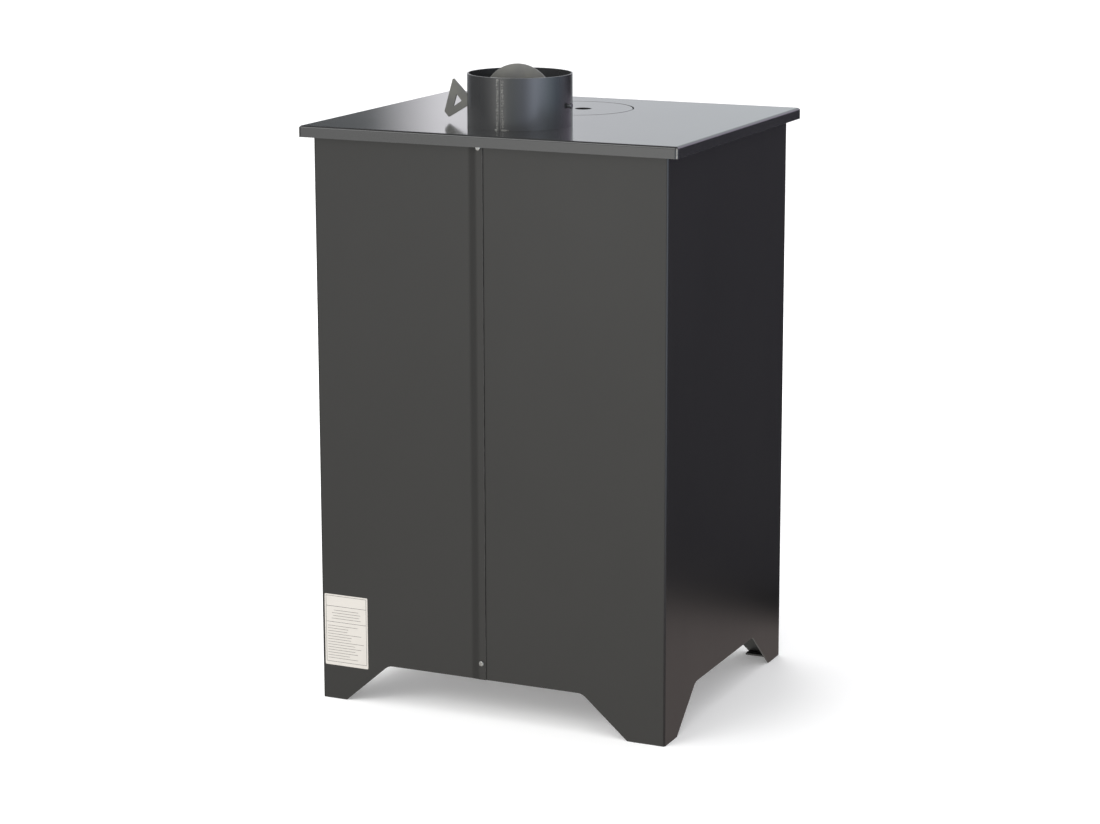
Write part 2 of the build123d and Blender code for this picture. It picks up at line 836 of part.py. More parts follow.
def build_door(name, opening_low, opening_high):
    """Makes the pieces of one door, its hinges, handle and latch, for an opening between two heights."""
    low = opening_low - door_overlap
    high = opening_high + door_overlap
    middle = (low + high) / 2
    face_back_y = door_face_y + door_sheet
    window_half = door_half - window_margin_side
    window_high = high - window_margin_level
    window_low = low + window_margin_level
    window_height = window_high - window_low
    glass_half = window_half + glass_overlap
    glass_low = window_low - glass_overlap
    glass_high = window_high + glass_overlap
    inner_half = door_half - door_sheet
    inner_height = high - low - 2 * door_sheet
    inner_radius = door_corner_radius - door_sheet
    glass_back_y = face_back_y + glass_thickness

    # Pressed face with its edges folded back towards the stove
    with BuildPart() as door_shell:
        with BuildSketch(Plane.XZ.offset(-door_back_y)):
            with Locations((0, middle)):
                RectangleRounded(2 * door_half, high - low, door_corner_radius)
        extrude(amount=door_depth)
        fillet(door_shell.faces().sort_by(Axis.Y)[0].edges(), radius=door_edge_radius)
        with BuildSketch(Plane.XZ.offset(-door_back_y)):
            with Locations((0, middle)):
                RectangleRounded(2 * inner_half, inner_height, inner_radius)
        extrude(amount=door_depth - door_sheet, mode=Mode.SUBTRACT)
        with BuildSketch(Plane.XZ.offset(-door_back_y)):
            with Locations((0, middle)):
                RectangleRounded(2 * window_half, window_height, window_corner_radius)
        extrude(amount=door_depth, mode=Mode.SUBTRACT)
        rod(
            (latch_x, door_face_y, middle),
            (latch_x, door_back_y, middle),
            latch_spindle_radius + latch_play,
            mode=Mode.SUBTRACT,
        )
        if name == "oven":
            rod(
                (0, door_face_y, high - thermometer_drop),
                (0, door_back_y, high - thermometer_drop),
                stem_radius + stem_play,
                mode=Mode.SUBTRACT,
            )
    finish(door_shell, f"{name}_door_shell")

    # Inner plate that closes the door's back and carries the rope seal
    with BuildPart() as door_liner:
        with BuildSketch(Plane.XZ.offset(-liner_back_y)):
            with Locations((0, middle)):
                RectangleRounded(2 * inner_half, inner_height, inner_radius)
                RectangleRounded(
                    2 * glass_half, glass_high - glass_low, window_corner_radius, mode=Mode.SUBTRACT
                )
        extrude(amount=liner_sheet)
        rod(
            (latch_x, door_face_y, middle),
            (latch_x, door_back_y, middle),
            latch_spindle_radius + latch_play,
            mode=Mode.SUBTRACT,
        )
        if name == "oven":
            rod(
                (0, door_face_y, high - thermometer_drop),
                (0, door_back_y, high - thermometer_drop),
                stem_radius + stem_play,
                mode=Mode.SUBTRACT,
            )
    finish(door_liner, f"{name}_door_liner")

    with BuildPart() as door_glass:
        slab(
            (-glass_half, glass_half),
            (face_back_y, glass_back_y),
            (glass_low, glass_high),
        )
    finish(door_glass, f"{name}_door_glass")

    # Four clips and their screws hold the glass against the face
    clip_top_y = glass_back_y + clip_sheet
    screw_base_y = face_back_y + clip_sheet
    with BuildPart() as glass_clips:
        for edge_z, outward in ((glass_low, -1), (glass_high, 1)):
            web_near = edge_z + outward * clip_sheet
            web_far = web_near + outward * clip_sheet
            screw_z = web_far + outward * clip_screw_radius
            foot_far = screw_z + outward * clip_screw_radius
            for clip_x in (-window_half / 2, window_half / 2):
                span = (clip_x - clip_width / 2, clip_x + clip_width / 2)
                slab(span, (glass_back_y, clip_top_y), sorted((edge_z - outward * clip_grip, web_near)))
                slab(span, (face_back_y, clip_top_y), sorted((web_near, web_far)))
                slab(span, (face_back_y, screw_base_y), sorted((web_far, foot_far)))
                screw_top = (clip_x, screw_base_y + clip_screw_head, screw_z)
                rod((clip_x, screw_base_y, screw_z), screw_top, clip_screw_radius)
    finish(glass_clips, f"{name}_glass_clips")

    gasket_half = opening_half_width + gasket_inset
    with BuildPart() as door_gasket:
        with BuildSketch(Plane.XZ.offset(-liner_back_y)):
            with Locations((0, middle)):
                RectangleRounded(
                    2 * (gasket_half + gasket_width),
                    opening_high - opening_low + 2 * (gasket_inset + gasket_width),
                    gasket_width,
                )
                Rectangle(
                    2 * gasket_half,
                    opening_high - opening_low + 2 * gasket_inset,
                    mode=Mode.SUBTRACT,
                )
        extrude(amount=-(casing_front_y - liner_back_y - running_gap))
        fillet(door_gasket.faces().sort_by(Axis.Y)[-1].edges(), radius=gasket_edge_radius)
    finish(door_gasket, f"{name}_door_gasket")

    # Lift-off hinges at the left edge: a barrel on the door sits on a bracket with a fixed pin
    hinge_x = -door_half - hinge_axis_side
    hinge_y = casing_front_y - hinge_axis_out
    hinge_joints = (low + hinge_from_edge, high - hinge_from_edge)
    with BuildPart() as hinge_barrels:
        for joint_z in hinge_joints:
            barrel_top = joint_z + hinge_barrel_length
            rod((hinge_x, hinge_y, joint_z), (hinge_x, hinge_y, barrel_top), hinge_barrel_radius)
            slab(
                (hinge_x, -door_half),
                (hinge_y - hinge_tab_thickness / 2, hinge_y + hinge_tab_thickness / 2),
                (joint_z, barrel_top),
            )
            rod(
                (hinge_x, hinge_y, joint_z - hinge_barrel_length),
                (hinge_x, hinge_y, joint_z + 2 * hinge_barrel_length),
                hinge_pin_radius + hinge_play,
                mode=Mode.SUBTRACT,
            )
    finish(hinge_barrels, f"{name}_hinge_barrels")

    leaf_right = hinge_x + hinge_barrel_radius
    with BuildPart() as hinge_brackets:
        for joint_z in hinge_joints:
            barrel_top = joint_z - running_gap
            barrel_low = barrel_top - hinge_barrel_length
            rod((hinge_x, hinge_y, barrel_low), (hinge_x, hinge_y, barrel_top), hinge_barrel_radius)
            slab(
                (hinge_x - hinge_tab_thickness / 2, hinge_x + hinge_tab_thickness / 2),
                (hinge_y, casing_front_y - hinge_leaf_sheet),
                (barrel_low, barrel_top),
            )
            slab(
                (leaf_right - hinge_leaf_width, leaf_right),
                (casing_front_y - hinge_leaf_sheet, casing_front_y),
                (barrel_low - (hinge_leaf_height - hinge_barrel_length), barrel_top),
            )
            pin_top = joint_z + hinge_barrel_length
            rod((hinge_x, hinge_y, barrel_top), (hinge_x, hinge_y, pin_top), hinge_pin_radius)
    finish(hinge_brackets, f"{name}_hinge_brackets")

    # Lever handle: spindle through the door, hub on its face, a bent rod that hangs down, and a wooden grip
    hub_back_y = door_face_y - running_gap
    rod_y = door_face_y - handle_standoff
    cam_near_y = casing_front_y + keeper_thickness + cam_gap
    cam_far_y = cam_near_y + cam_thickness
    with BuildPart() as door_handle:
        rod((latch_x, cam_far_y, middle), (latch_x, hub_back_y, middle), latch_spindle_radius)
        rod((latch_x, hub_back_y, middle), (latch_x, hub_back_y - hub_height, middle), hub_radius)
        fillet(door_handle.edges().group_by(Axis.Y)[0], radius=hub_edge_radius)
        with BuildLine() as lever_path:
            FilletPolyline(
                (latch_x, hub_back_y - hub_height / 2, middle),
                (latch_x, rod_y, middle),
                (latch_x, rod_y, middle - handle_length),
                radius=handle_bend_radius,
            )
        with BuildSketch(Plane(origin=lever_path.line @ 0, z_dir=lever_path.line % 0)):
            Circle(handle_rod_radius)
        sweep(path=lever_path.line)
    finish(door_handle, f"{name}_door_handle")

    grip_low = middle - handle_length
    with BuildPart() as handle_grip:
        rod((latch_x, rod_y, grip_low), (latch_x, rod_y, grip_low + grip_length), grip_radius)
        fillet(handle_grip.edges().filter_by(GeomType.CIRCLE), radius=grip_end_radius)
        rod(
            (latch_x, rod_y, grip_low),
            (latch_x, rod_y, grip_low + grip_length),
            handle_rod_radius,
            mode=Mode.SUBTRACT,
        )
    finish(handle_grip, f"{name}_handle_grip")

    # Cam at the spindle's inner end. Its tongue hangs down while the door is free
    with BuildPart() as latch_cam:
        cam_plane = Plane(origin=(latch_x, cam_near_y, middle), x_dir=(1, 0, 0), z_dir=(0, -1, 0))
        with BuildSketch(cam_plane):
            Circle(cam_width / 2 + cam_rim)
            with Locations((0, -cam_length / 2)):
                Rectangle(cam_width, cam_length)
            Circle(latch_spindle_radius, mode=Mode.SUBTRACT)
        extrude(amount=-cam_thickness)
    finish(latch_cam, f"{name}_latch_cam")

    # Lug welded to the opening's edge, behind which the cam turns
    with BuildPart() as latch_keeper:
        slab(
            (opening_half_width - keeper_reach, opening_half_width),
            (casing_front_y, casing_front_y + keeper_thickness),
            (middle - keeper_height / 2, middle + keeper_height / 2),
        )
    finish(latch_keeper, f"{name}_latch_keeper")


build_door("firebox", fire_opening_low, fire_opening_high)
build_door("oven", oven_opening_low, oven_opening_high)

# Thermometer on the oven door, its stem reaching through the door into the oven
dial_z = oven_opening_high + door_overlap - thermometer_drop
bezel_front_y = door_face_y - bezel_height
dial_face_y = bezel_front_y + dial_depth
dial_back_y = dial_face_y + dial_sheet
needle_back_y = dial_face_y - needle_lift
needle_front_y = needle_back_y - needle_thickness
dial_disc_radius = dial_radius - bezel_wall
stem_end_y = bezel_front_y + bezel_height + stem_length
with BuildPart() as thermometer_case:
    rod((0, door_face_y, dial_z), (0, bezel_front_y, dial_z), dial_radius)
    fillet(thermometer_case.edges().group_by(Axis.Y)[0], radius=bezel_edge_radius)
    rod((0, bezel_front_y, dial_z), (0, dial_back_y, dial_z), dial_disc_radius, mode=Mode.SUBTRACT)
    rod((0, door_face_y, dial_z), (0, stem_end_y, dial_z), stem_radius)
finish(thermometer_case, "thermometer_case")

with BuildPart() as thermometer_dial:
    rod((0, dial_back_y, dial_z), (0, dial_face_y, dial_z), dial_disc_radius)
    rod((0, dial_face_y, dial_z), (0, needle_front_y, dial_z), needle_pin_radius)
finish(thermometer_dial, "thermometer_dial")

needle_bore_radius = needle_pin_radius + needle_play
needle_way = Vector(1, 0, 0).rotate(Axis.Y, -needle_cold_angle)
needle_plane = Plane(origin=(0, needle_back_y, dial_z), x_dir=needle_way, z_dir=(0, -1, 0))
with BuildPart() as thermometer_needle:
    with BuildSketch(needle_plane):
        Circle(needle_hub_radius)
        Rectangle(needle_length, needle_width, align=(Align.MIN, Align.CENTER))
        Circle(needle_bore_radius, mode=Mode.SUBTRACT)
    extrude(amount=needle_thickness)
finish(thermometer_needle, "thermometer_needle")

with BuildPart() as thermometer_lens:
    rod((0, bezel_front_y + lens_thickness, dial_z), (0, bezel_front_y, dial_z), dial_disc_radius)
finish(thermometer_lens, "thermometer_lens")

# Runners on the body floor, one each side of the ash drawer
drawer_half = opening_half_width - drawer_play
drawer_floor_z = body_floor_top + running_gap
with BuildPart() as drawer_runners:
    for side in (-1, 1):
        slab(
            sorted((side * (drawer_half + runner_play), side * (drawer_half + runner_play + runner_width))),
            (panel_back_y, panel_back_y + runner_length),
            (body_floor_top, body_floor_top + runner_height),
        )
finish(drawer_runners, "drawer_runners")

# Ash drawer: an open box fixed to the back of its front
drawer_box_y = drawer_face_y + drawer_front_sheet
with BuildPart() as ash_drawer_box:
    slab(
        (-drawer_half, drawer_half),
        (drawer_box_y, drawer_box_y + drawer_length),
        (drawer_floor_z, drawer_floor_z + drawer_height),
    )
    slab(
        (-drawer_half + drawer_sheet, drawer_half - drawer_sheet),
        (drawer_box_y + drawer_sheet, drawer_box_y + drawer_length - drawer_sheet),
        (drawer_floor_z + drawer_sheet, drawer_floor_z + 2 * drawer_height),
        mode=Mode.SUBTRACT,
    )
finish(ash_drawer_box, "ash_drawer_box")

front_low = ash_opening_low - drawer_front_overlap
front_high = ash_opening_high + drawer_front_overlap
front_middle = (front_low + front_high) / 2
drawer_front_back_y = drawer_face_y + drawer_front_depth
with BuildPart() as ash_drawer_front:
    with BuildSketch(Plane.XZ.offset(-drawer_front_back_y)):
        with Locations((0, front_middle)):
            RectangleRounded(2 * door_half, front_high - front_low, door_corner_radius)
    extrude(amount=drawer_front_depth)
    fillet(ash_drawer_front.faces().sort_by(Axis.Y)[0].edges(), radius=drawer_front_edge_radius)
    with BuildSketch(Plane.XZ.offset(-drawer_front_back_y)):
        with Locations((0, front_middle)):
            RectangleRounded(
                2 * (door_half - drawer_front_sheet),
                front_high - front_low - 2 * drawer_front_sheet,
                door_corner_radius - drawer_front_sheet,
            )
    extrude(amount=drawer_front_depth - drawer_front_sheet, mode=Mode.SUBTRACT)
    with BuildSketch(Plane.XZ.offset(-drawer_front_back_y)):
        with Locations((0, slot_centre_height)):
            with GridLocations(slot_pitch, 0, slot_count, 1):
                Rectangle(slot_length, slot_height)
    extrude(amount=drawer_front_depth, mode=Mode.SUBTRACT)
finish(ash_drawer_front, "ash_drawer_front")

with BuildPart() as ash_drawer_handle:
    with BuildLine() as bow_path:
        FilletPolyline(
            (-bow_span / 2, drawer_face_y, bow_height),
            (-bow_span / 2, drawer_face_y - bow_reach, bow_height),
            (bow_span / 2, drawer_face_y - bow_reach, bow_height),
            (bow_span / 2, drawer_face_y, bow_height),
            radius=bow_bend_radius,
        )
    with BuildSketch(Plane(origin=bow_path.line @ 0, z_dir=bow_path.line % 0)):
        Circle(bow_radius)
    sweep(path=bow_path.line)
finish(ash_drawer_handle, "ash_drawer_handle")

# Air slider over the slots in the drawer's front, held by two guides
slider_back_y = drawer_face_y - running_gap
slider_face_y = slider_back_y - slider_sheet
with BuildPart() as air_slider:
    slab(
        (-slider_length / 2, slider_length / 2),
        (slider_face_y, slider_back_y),
        (slot_centre_height - slider_half_height, slot_centre_height + slider_half_height),
    )
    with BuildSketch(Plane.XZ.offset(-slider_back_y)):
        with Locations((0, slot_centre_height)):
            with GridLocations(slot_pitch, 0, slot_count, 1):
                Rectangle(slot_length, slot_height)
    extrude(amount=slider_sheet, mode=Mode.SUBTRACT)
    knob_x = slot_pitch / 2
    neck_end_y = slider_face_y - slider_neck_length
    knob_base = (knob_x, neck_end_y, slot_centre_height)
    knob_end = (knob_x, neck_end_y - slider_knob_length, slot_centre_height)
    rod((knob_x, slider_face_y, slot_centre_height), knob_base, slider_neck_radius)
    rod(knob_base, knob_end, slider_knob_radius)
    fillet(air_slider.edges().group_by(Axis.Y)[0], radius=slider_knob_edge_radius)
finish(air_slider, "air_slider")

guide_top_y = slider_face_y - running_gap - guide_sheet
with BuildPart() as air_slider_guides:
    for side in (-1, 1):
        edge_z = slot_centre_height + side * slider_half_height
        slab(
            (-guide_length / 2, guide_length / 2),
            (guide_top_y, drawer_face_y),
            sorted((edge_z + side * running_gap, edge_z + side * guide_foot)),
        )
        slab(
            (-guide_length / 2, guide_length / 2),
            (guide_top_y, guide_top_y + guide_sheet),
            sorted((edge_z - side * guide_lip, edge_z + side * running_gap)),
        )
finish(air_slider_guides, "air_slider_guides")
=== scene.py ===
import json
import math
import random

import bmesh
import bpy
from mathutils import Matrix, Vector


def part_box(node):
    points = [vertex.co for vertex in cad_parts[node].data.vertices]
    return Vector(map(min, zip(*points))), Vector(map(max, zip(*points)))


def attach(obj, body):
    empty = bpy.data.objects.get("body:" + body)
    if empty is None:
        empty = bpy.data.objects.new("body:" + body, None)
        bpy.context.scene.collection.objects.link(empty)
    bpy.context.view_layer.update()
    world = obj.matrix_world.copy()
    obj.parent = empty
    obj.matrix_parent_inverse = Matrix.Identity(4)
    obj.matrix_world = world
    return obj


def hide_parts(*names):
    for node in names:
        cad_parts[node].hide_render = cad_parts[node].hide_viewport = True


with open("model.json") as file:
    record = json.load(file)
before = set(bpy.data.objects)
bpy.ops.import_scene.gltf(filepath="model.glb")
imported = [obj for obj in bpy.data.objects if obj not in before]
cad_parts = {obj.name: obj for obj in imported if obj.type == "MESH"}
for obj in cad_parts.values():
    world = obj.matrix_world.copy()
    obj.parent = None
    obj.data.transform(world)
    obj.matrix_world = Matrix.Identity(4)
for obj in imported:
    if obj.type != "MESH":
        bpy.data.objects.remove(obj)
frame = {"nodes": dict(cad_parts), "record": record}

bl_info = {
    "name": "Wood stove finish",
    "version": (1, 0, 0),
    "blender": (4, 5, 0),
    "location": "View3D > Sidebar > Stove",
    "description": "Paints the wood stove and adds its welds, dial marks and blank label",
    "category": "Object",
}

MM = 0.001
PLATE_LOW, PLATE_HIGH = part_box("top_plate")
COLLAR_LOW, COLLAR_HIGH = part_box("flue_collar")
COLLAR_RADIUS = (COLLAR_HIGH.x - COLLAR_LOW.x) / 2
COLLAR_X = (COLLAR_LOW.x + COLLAR_HIGH.x) / 2
COLLAR_Y = (COLLAR_LOW.y + COLLAR_HIGH.y) / 2
LABEL_LOW, LABEL_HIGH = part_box("rating_label")
DIAL_LOW, DIAL_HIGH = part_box("thermometer_dial")
DOORS = ("oven", "firebox")

# The smoother paints: roughness, how deep the sprayed grain is, how far the paler edges reach (thinner paint
# and a painted highlight), and gloss.
HOB_LOOK = {"roughness": 0.13, "grain": 0.1, "edge_radius": 0.6 * MM, "gloss": 0.75}
COLLAR_LOOK = {"roughness": 0.24, "grain": 0.25, "edge_radius": 0.7 * MM, "gloss": 0.7}
HINGE_LOOK = {"roughness": 0.34, "grain": 0.8, "edge_radius": 0.7 * MM}
# The lever's tone, as a share of the damper disc's: the same sheet darkened as painted shade, because the
# lever catches more light than the disc inside the collar.
LEVER_PAINTED_SHADE = 0.7

# Faces that meet at more than this many degrees keep a sharp edge.
SHARP_ANGLE = 40.0

# How far a sheet's edge turns the normal, as 1 less the cosine, where the paler edge starts and is full:
# wear, and on the painted sheets also a painted highlight.
EDGE_TURN = (0.004, 0.09)

# One weld crater, as fractions of its radius out from the centre and of its lift off the wall.
CRATER_PROFILE = ((0.0, 0.1), (0.42, 0.16), (0.66, 0.85), (0.86, 1.0), (1.08, 0.55), (1.25, -0.3))
CRATER_SPOKES = 10
CRATER_LIFT = 0.4 * MM
# A crater's faces closer to the wall than this are its pit, painted dark as shade.
PIT_LIFT = 0.16 * MM
# Which side of the seam each row of craters is on, and how far up the collar it starts.
CRATER_ROWS = ((-1, 3.0 * MM), (1, 4.6 * MM))
CRATER_HEADROOM = 3.0 * MM
# How far a crater strays sideways, in millimetres, and by what share its size and pitch vary.
CRATER_STRAY = 0.6
CRATER_VARIETY = (0.8, 1.2)
CRATER_SEED = 7
# The collar's lap: half the width of the dark line painted as the shadow in its open edge, the outer side of
# its pale edge, painted as a highlight, in those half widths, and how proud they are.
SHADOW_LINE_HALF_WIDTH = 0.55 * MM
LAP_REACH = 2.6
SHADOW_LINE_LIFT, LAP_LIFT = 0.03 * MM, 0.3 * MM
LAP_HEADROOM = 1.5 * MM
WALL_SINK = 0.3 * MM
# Tacks at the collar's foot: degrees from the seam, and half the width in millimetres.
FOOT_TACKS = ((-4.2, 2.6), (2.4, 1.5), (3.8, 1.7), (5.2, 1.8), (6.6, 1.4), (8.0, 1.0), (9.4, 0.7))
TACK_THICKNESS, TACK_FLATNESS = 0.9 * MM, 0.55
TACK_RAISED, TACK_PROUD = 0.5 * MM, 0.1 * MM

# One lump of a weld bead: its length and height as shares of its width, and how far sizes vary.
LUMP_LENGTH, LUMP_HEIGHT = 0.8, 0.55
LUMP_VARIETY = (0.9, 1.1)
# The ground weld in each corner of the hob's rim.
CORNER_INSET = 1.15 * MM
CORNER_FOOT, CORNER_HEAD = 0.3 * MM, 2.6 * MM
CORNER_WIDTH, CORNER_PITCH = 2.2 * MM, 0.32
CORNER_SEED, HINGE_SEED = 11, 21
# A hinge leaf's points lie this close to the front panel.
LEAF_REACH = 0.4 * MM

# The blank label's print: thickness, line widths and the border's margins.
PRINT_THICKNESS = 0.02 * MM
BORDER_LINE, RULED_LINE = 0.55 * MM, 0.7 * MM
BORDER_MARGIN = 2.4 * MM
BORDER_FOOT = 2.2 * BORDER_MARGIN
# Lines across the label, down from its top: two of the border, then the empty ones in two groups, each with a
# count, a start and a step in millimetres, the shares of the label's width, and whether they are centred.
CROSS_LINES = (18.0 * MM, 42.0 * MM)
EMPTY_LINES = ((4, 24.0, 4.2, (0.5, 0.8), True), (13, 48.0, 4.1, (0.45, 0.84), False))
LINE_SEED = 3

# The dial: a scale that runs clockwise, in degrees from +X, its steps, and the sizes of ticks and numbers.
DIAL_START, DIAL_SWEEP = 225.0, 270.0
DIAL_STEPS, DIAL_NUMERALS = 25, 5
DIAL_MARGIN = 0.9 * MM
SHORT_TICK = 0.55
LONG_TICK_WIDTH, SHORT_TICK_WIDTH = 0.42 * MM, 0.24 * MM
DIAL_PRINT = 0.02 * MM
NUMERAL_STEP, NUMERAL_INSET = 100, 0.8

# The studio's floor, and the sheet of paper beside the stove that its left wall mirrors, in metres.
FLOOR_RADIUS = 40.0
FLOOR_TONES = ((0.9, 0.9, 0.9, 1.0), (0.93, 0.93, 0.93, 1.0))
FLOOR_GLOW = 0.2
PAPER_SIZE = (1.2, 1.8, 1.0)
PAPER_CENTRE = (-0.8725, 0.36, 0.0005)
PAPER_TINT = (1.0, 0.86, 0.82, 1.0)
PAPER_GLOW = 0.41
PAPER_FADE_X, PAPER_FADE_Y = (-1.4, -0.9), (-0.45, -0.32)

# Softboxes: name, place, size in metres and power in watts. Both face SOFTBOX_AIM.
SOFTBOXES = (
    ("key softbox", (1.6, 3.4, 2.6), (2.2, 1.6), 45.0),
    ("fill softbox", (1.7, -3.2, 2.4), (1.8, 1.2), 35.0),
)
SOFTBOX_AIM = Vector((0.0, 0.0, 0.5))

# The photograph's camera: place in metres, angles in radians, lens and shift in the photograph's pixels.
CAMERA_PLACE = Vector((-1.72087, 3.80992, 1.35741))
CAMERA_TARGET = Vector((0.0, 0.0, 0.45))
CAMERA_TURN, CAMERA_TILT, CAMERA_ROLL = 0.42856, 0.20129, -0.002
PHOTO_WIDTH, FOCAL_LENGTH, FRAME_SHIFT = 1100.0, 2869.9, -66.0
SENSOR_WIDTH = 36.0
CAMERA_REACH = 120.0

# The studio's cards as a glossy surface sees them, by direction: degrees from +X, then colour. Low is what
# the upright walls show, middle is what the hob and the lid show, high is what rounded edges show.
LOW_CARDS = (
    (-180, (1.35, 1.65, 1.95)),
    (-159, (0.55, 0.7, 0.92)),
    (-135, (0.45, 0.47, 0.58)),
    (-118, (0.065, 0.058, 0.085)),
    (-98, (0.05, 0.046, 0.058)),
    (-86, (0.6, 0.62, 0.66)),
    (-62, (0.7, 0.73, 0.77)),
    (-40, (0.4, 0.42, 0.45)),
    (-19, (0.12, 0.12, 0.125)),
    (12, (0.12, 0.12, 0.12)),
    (28, (0.2, 0.2, 0.2)),
    (44, (0.5, 0.5, 0.49)),
    (57, (1.02, 1.02, 1.0)),
    (67, (2.05, 2.05, 2.0)),
    (77, (2.1, 2.15, 2.08)),
    (86, (0.95, 1.0, 0.98)),
    (101, (0.85, 0.95, 1.0)),
    (124, (1.05, 1.15, 1.4)),
    (148, (2.7, 3.0, 3.6)),
    (165, (2.1, 2.4, 2.9)),
    (180, (1.35, 1.65, 1.95)),
)
MIDDLE_CARDS = (
    (-180, (0.8, 0.82, 0.85)),
    (-130, (1.1, 1.0, 1.25)),
    (-108, (1.1, 1.0, 1.25)),
    (-90, (0.97, 1.02, 1.07)),
    (-74, (0.85, 0.92, 0.95)),
    (-66, (0.88, 0.9, 0.94)),
    (-64, (1.25, 1.23, 1.28)),
    (-62.27, (1.3, 1.28, 1.33)),
    (-62.19, (0.04, 0.045, 0.045)),
    (-55, (0.04, 0.045, 0.045)),
    (-45, (0.3, 0.33, 0.32)),
    (-20, (0.6, 0.6, 0.6)),
    (15, (0.8, 0.8, 0.8)),
    (50, (1.1, 1.1, 1.08)),
    (82, (1.2, 1.2, 1.18)),
    (100, (0.8, 0.8, 0.8)),
    (120, (0.8, 0.81, 0.84)),
    (150, (0.9, 0.93, 0.98)),
    (180, (0.8, 0.82, 0.85)),
)
HIGH_CARDS = (
    (-180, (0.3, 0.3, 0.31)),
    (-130, (0.3, 0.3, 0.31)),
    (-100, (0.5, 0.5, 0.52)),
    (-60, (0.5, 0.5, 0.52)),
    (-40, (0.3, 0.3, 0.31)),
    (20, (0.3, 0.3, 0.3)),
    (45, (3.8, 3.8, 3.7)),
    (85, (3.8, 3.8, 3.7)),
    (110, (0.4, 0.4, 0.41)),
    (180, (0.3, 0.3, 0.31)),
)
# The light that matt surfaces gather, by direction.
DOME = (
    (-180, (0.5, 0.5, 0.53)),
    (-140, (0.35, 0.35, 0.38)),
    (-100, (0.85, 0.85, 0.87)),
    (-60, (1.2, 1.2, 1.2)),
    (0, (1.35, 1.35, 1.35)),
    (40, (1.5, 1.5, 1.48)),
    (120, (1.5, 1.5, 1.48)),
    (150, (1.2, 1.2, 1.22)),
    (180, (0.5, 0.5, 0.53)),
)
# What the cards are multiplied by, by height: 0 straight down, 0.5 level and 1 straight up.
LOW_FADE = (
    (0.275, (0.5, 0.47, 0.44)),
    (0.35, (0.62, 0.6, 0.57)),
    (0.4, (0.77, 0.76, 0.74)),
    (0.44, (0.97, 0.97, 0.97)),
    (0.5, (1.2, 1.2, 1.2)),
)
HIGH_FADE = (
    (0.81, (1.0, 1.0, 1.0)),
    (0.87, (0.6, 0.6, 0.6)),
    (0.92, (0.3, 0.3, 0.3)),
    (1.0, (0.25, 0.25, 0.25)),
)
# Heights from -1, straight down, to 1, between which one set of cards gives way to the next.
LOW_TO_FLOOR, LOW_TO_MIDDLE, MIDDLE_TO_HIGH = (-0.36, -0.46), (0.05, 0.12), (0.5, 0.62)
FLOOR_MIRRORED = (0.75, 0.73, 0.7, 1.0)
BACKDROP = (1.05, 1.05, 1.05, 1.0)


def ramp_stops(cards):
    """Stops of a colour ramp round the horizon, from cards given in degrees."""
    return [(degrees / 360.0 + 0.5, tone) for degrees, tone in cards]


# ---- settings


def colour(name, description, value):
    return bpy.props.FloatVectorProperty(
        name=name, description=description, subtype="COLOR", size=4, min=0.0, max=1.0, default=(*value, 1.0)
    )


def length(name, description, value):
    return bpy.props.FloatProperty(
        name=name, description=description, default=value, min=0.0, unit="LENGTH", precision=4
    )


class StovePaintColours(bpy.types.PropertyGroup):
    casing: colour("Casing", "Stove paint on the bent side and back sheets", (0.0125, 0.0122, 0.0118))
    front: colour("Front", "Stove paint on the front panel, doors and drawer front", (0.014, 0.0138, 0.0135))
    hob: colour("Hob", "Stove paint on the hob plate and its lid", (0.021, 0.0215, 0.0225))
    collar: colour("Collar", "Stove paint on the flue collar", (0.024, 0.0248, 0.0262))
    # This tone is laid over the painted sheets' edges: thinner paint there, and a painted highlight along
    # them. The hinge welds and the lap's pale edge take their tone from it too.
    rubbed: colour("Rubbed edge and highlight", "Where the paint is thin over the edge of a sheet", (0.14, 0.14, 0.137))
    weld: colour("Weld", "Crests of the small welds on the collar and the hob's rim", (0.24, 0.24, 0.228))
    # Painted shade: the dark line standing for the shadow in the lap's open edge, and the dark pits of the
    # weld craters.
    gap: colour("Gap", "Dark line of a lap's open edge and of the weld pits", (0.008, 0.008, 0.009))
    hinge: colour("Hinges", "Black paint on the hinges", (0.018, 0.018, 0.018))


class StoveMetalColours(bpy.types.PropertyGroup):
    mill: colour("Hot-rolled sheet", "Inner body sheets with their mill scale", (0.17, 0.168, 0.17))
    zinc: colour("Zinc plate", "Zinc-plated small parts, drawer box and oven shelf", (0.58, 0.59, 0.58))
    handle: colour("Handle steel", "Brushed steel of the handles", (0.47, 0.465, 0.455))
    damper: colour("Damper sheet", "Dull sheet of the damper's disc and lever", (0.22, 0.22, 0.214))
    screw: colour("Screws", "Darkened zinc of the seam screws", (0.36, 0.36, 0.355))
    chrome: colour("Bezel", "Bright bezel of the thermometer", (0.72, 0.72, 0.72))
    iron: colour("Grate iron", "Cast iron of the grate", (0.045, 0.044, 0.043))


class StoveOtherColours(bpy.types.PropertyGroup):
    enamel: colour("Oven enamel", "Dark enamel inside the oven", (0.045, 0.047, 0.054))
    brick: colour("Fire lining", "Pressed vermiculite bricks", (0.5, 0.4, 0.265))
    rope: colour("Rope seal", "Glass-fibre rope round the doors", (0.055, 0.055, 0.055))
    grip: colour("Grips", "Black phenolic grips", (0.012, 0.012, 0.012))
    glass: colour("Door glass", "Tint of the glass ceramic", (0.93, 0.9, 0.84))
    label: colour("Label", "Face of the blank label and the dial", (0.535, 0.508, 0.472))
    ink: colour("Ink", "Dial marks and the label's frame", (0.03, 0.03, 0.032))
    ruled: colour("Ruled lines", "Grey of the label's empty lines", (0.12, 0.115, 0.105))
    needle: colour("Needle", "Red enamel of the thermometer's needle", (0.45, 0.02, 0.012))


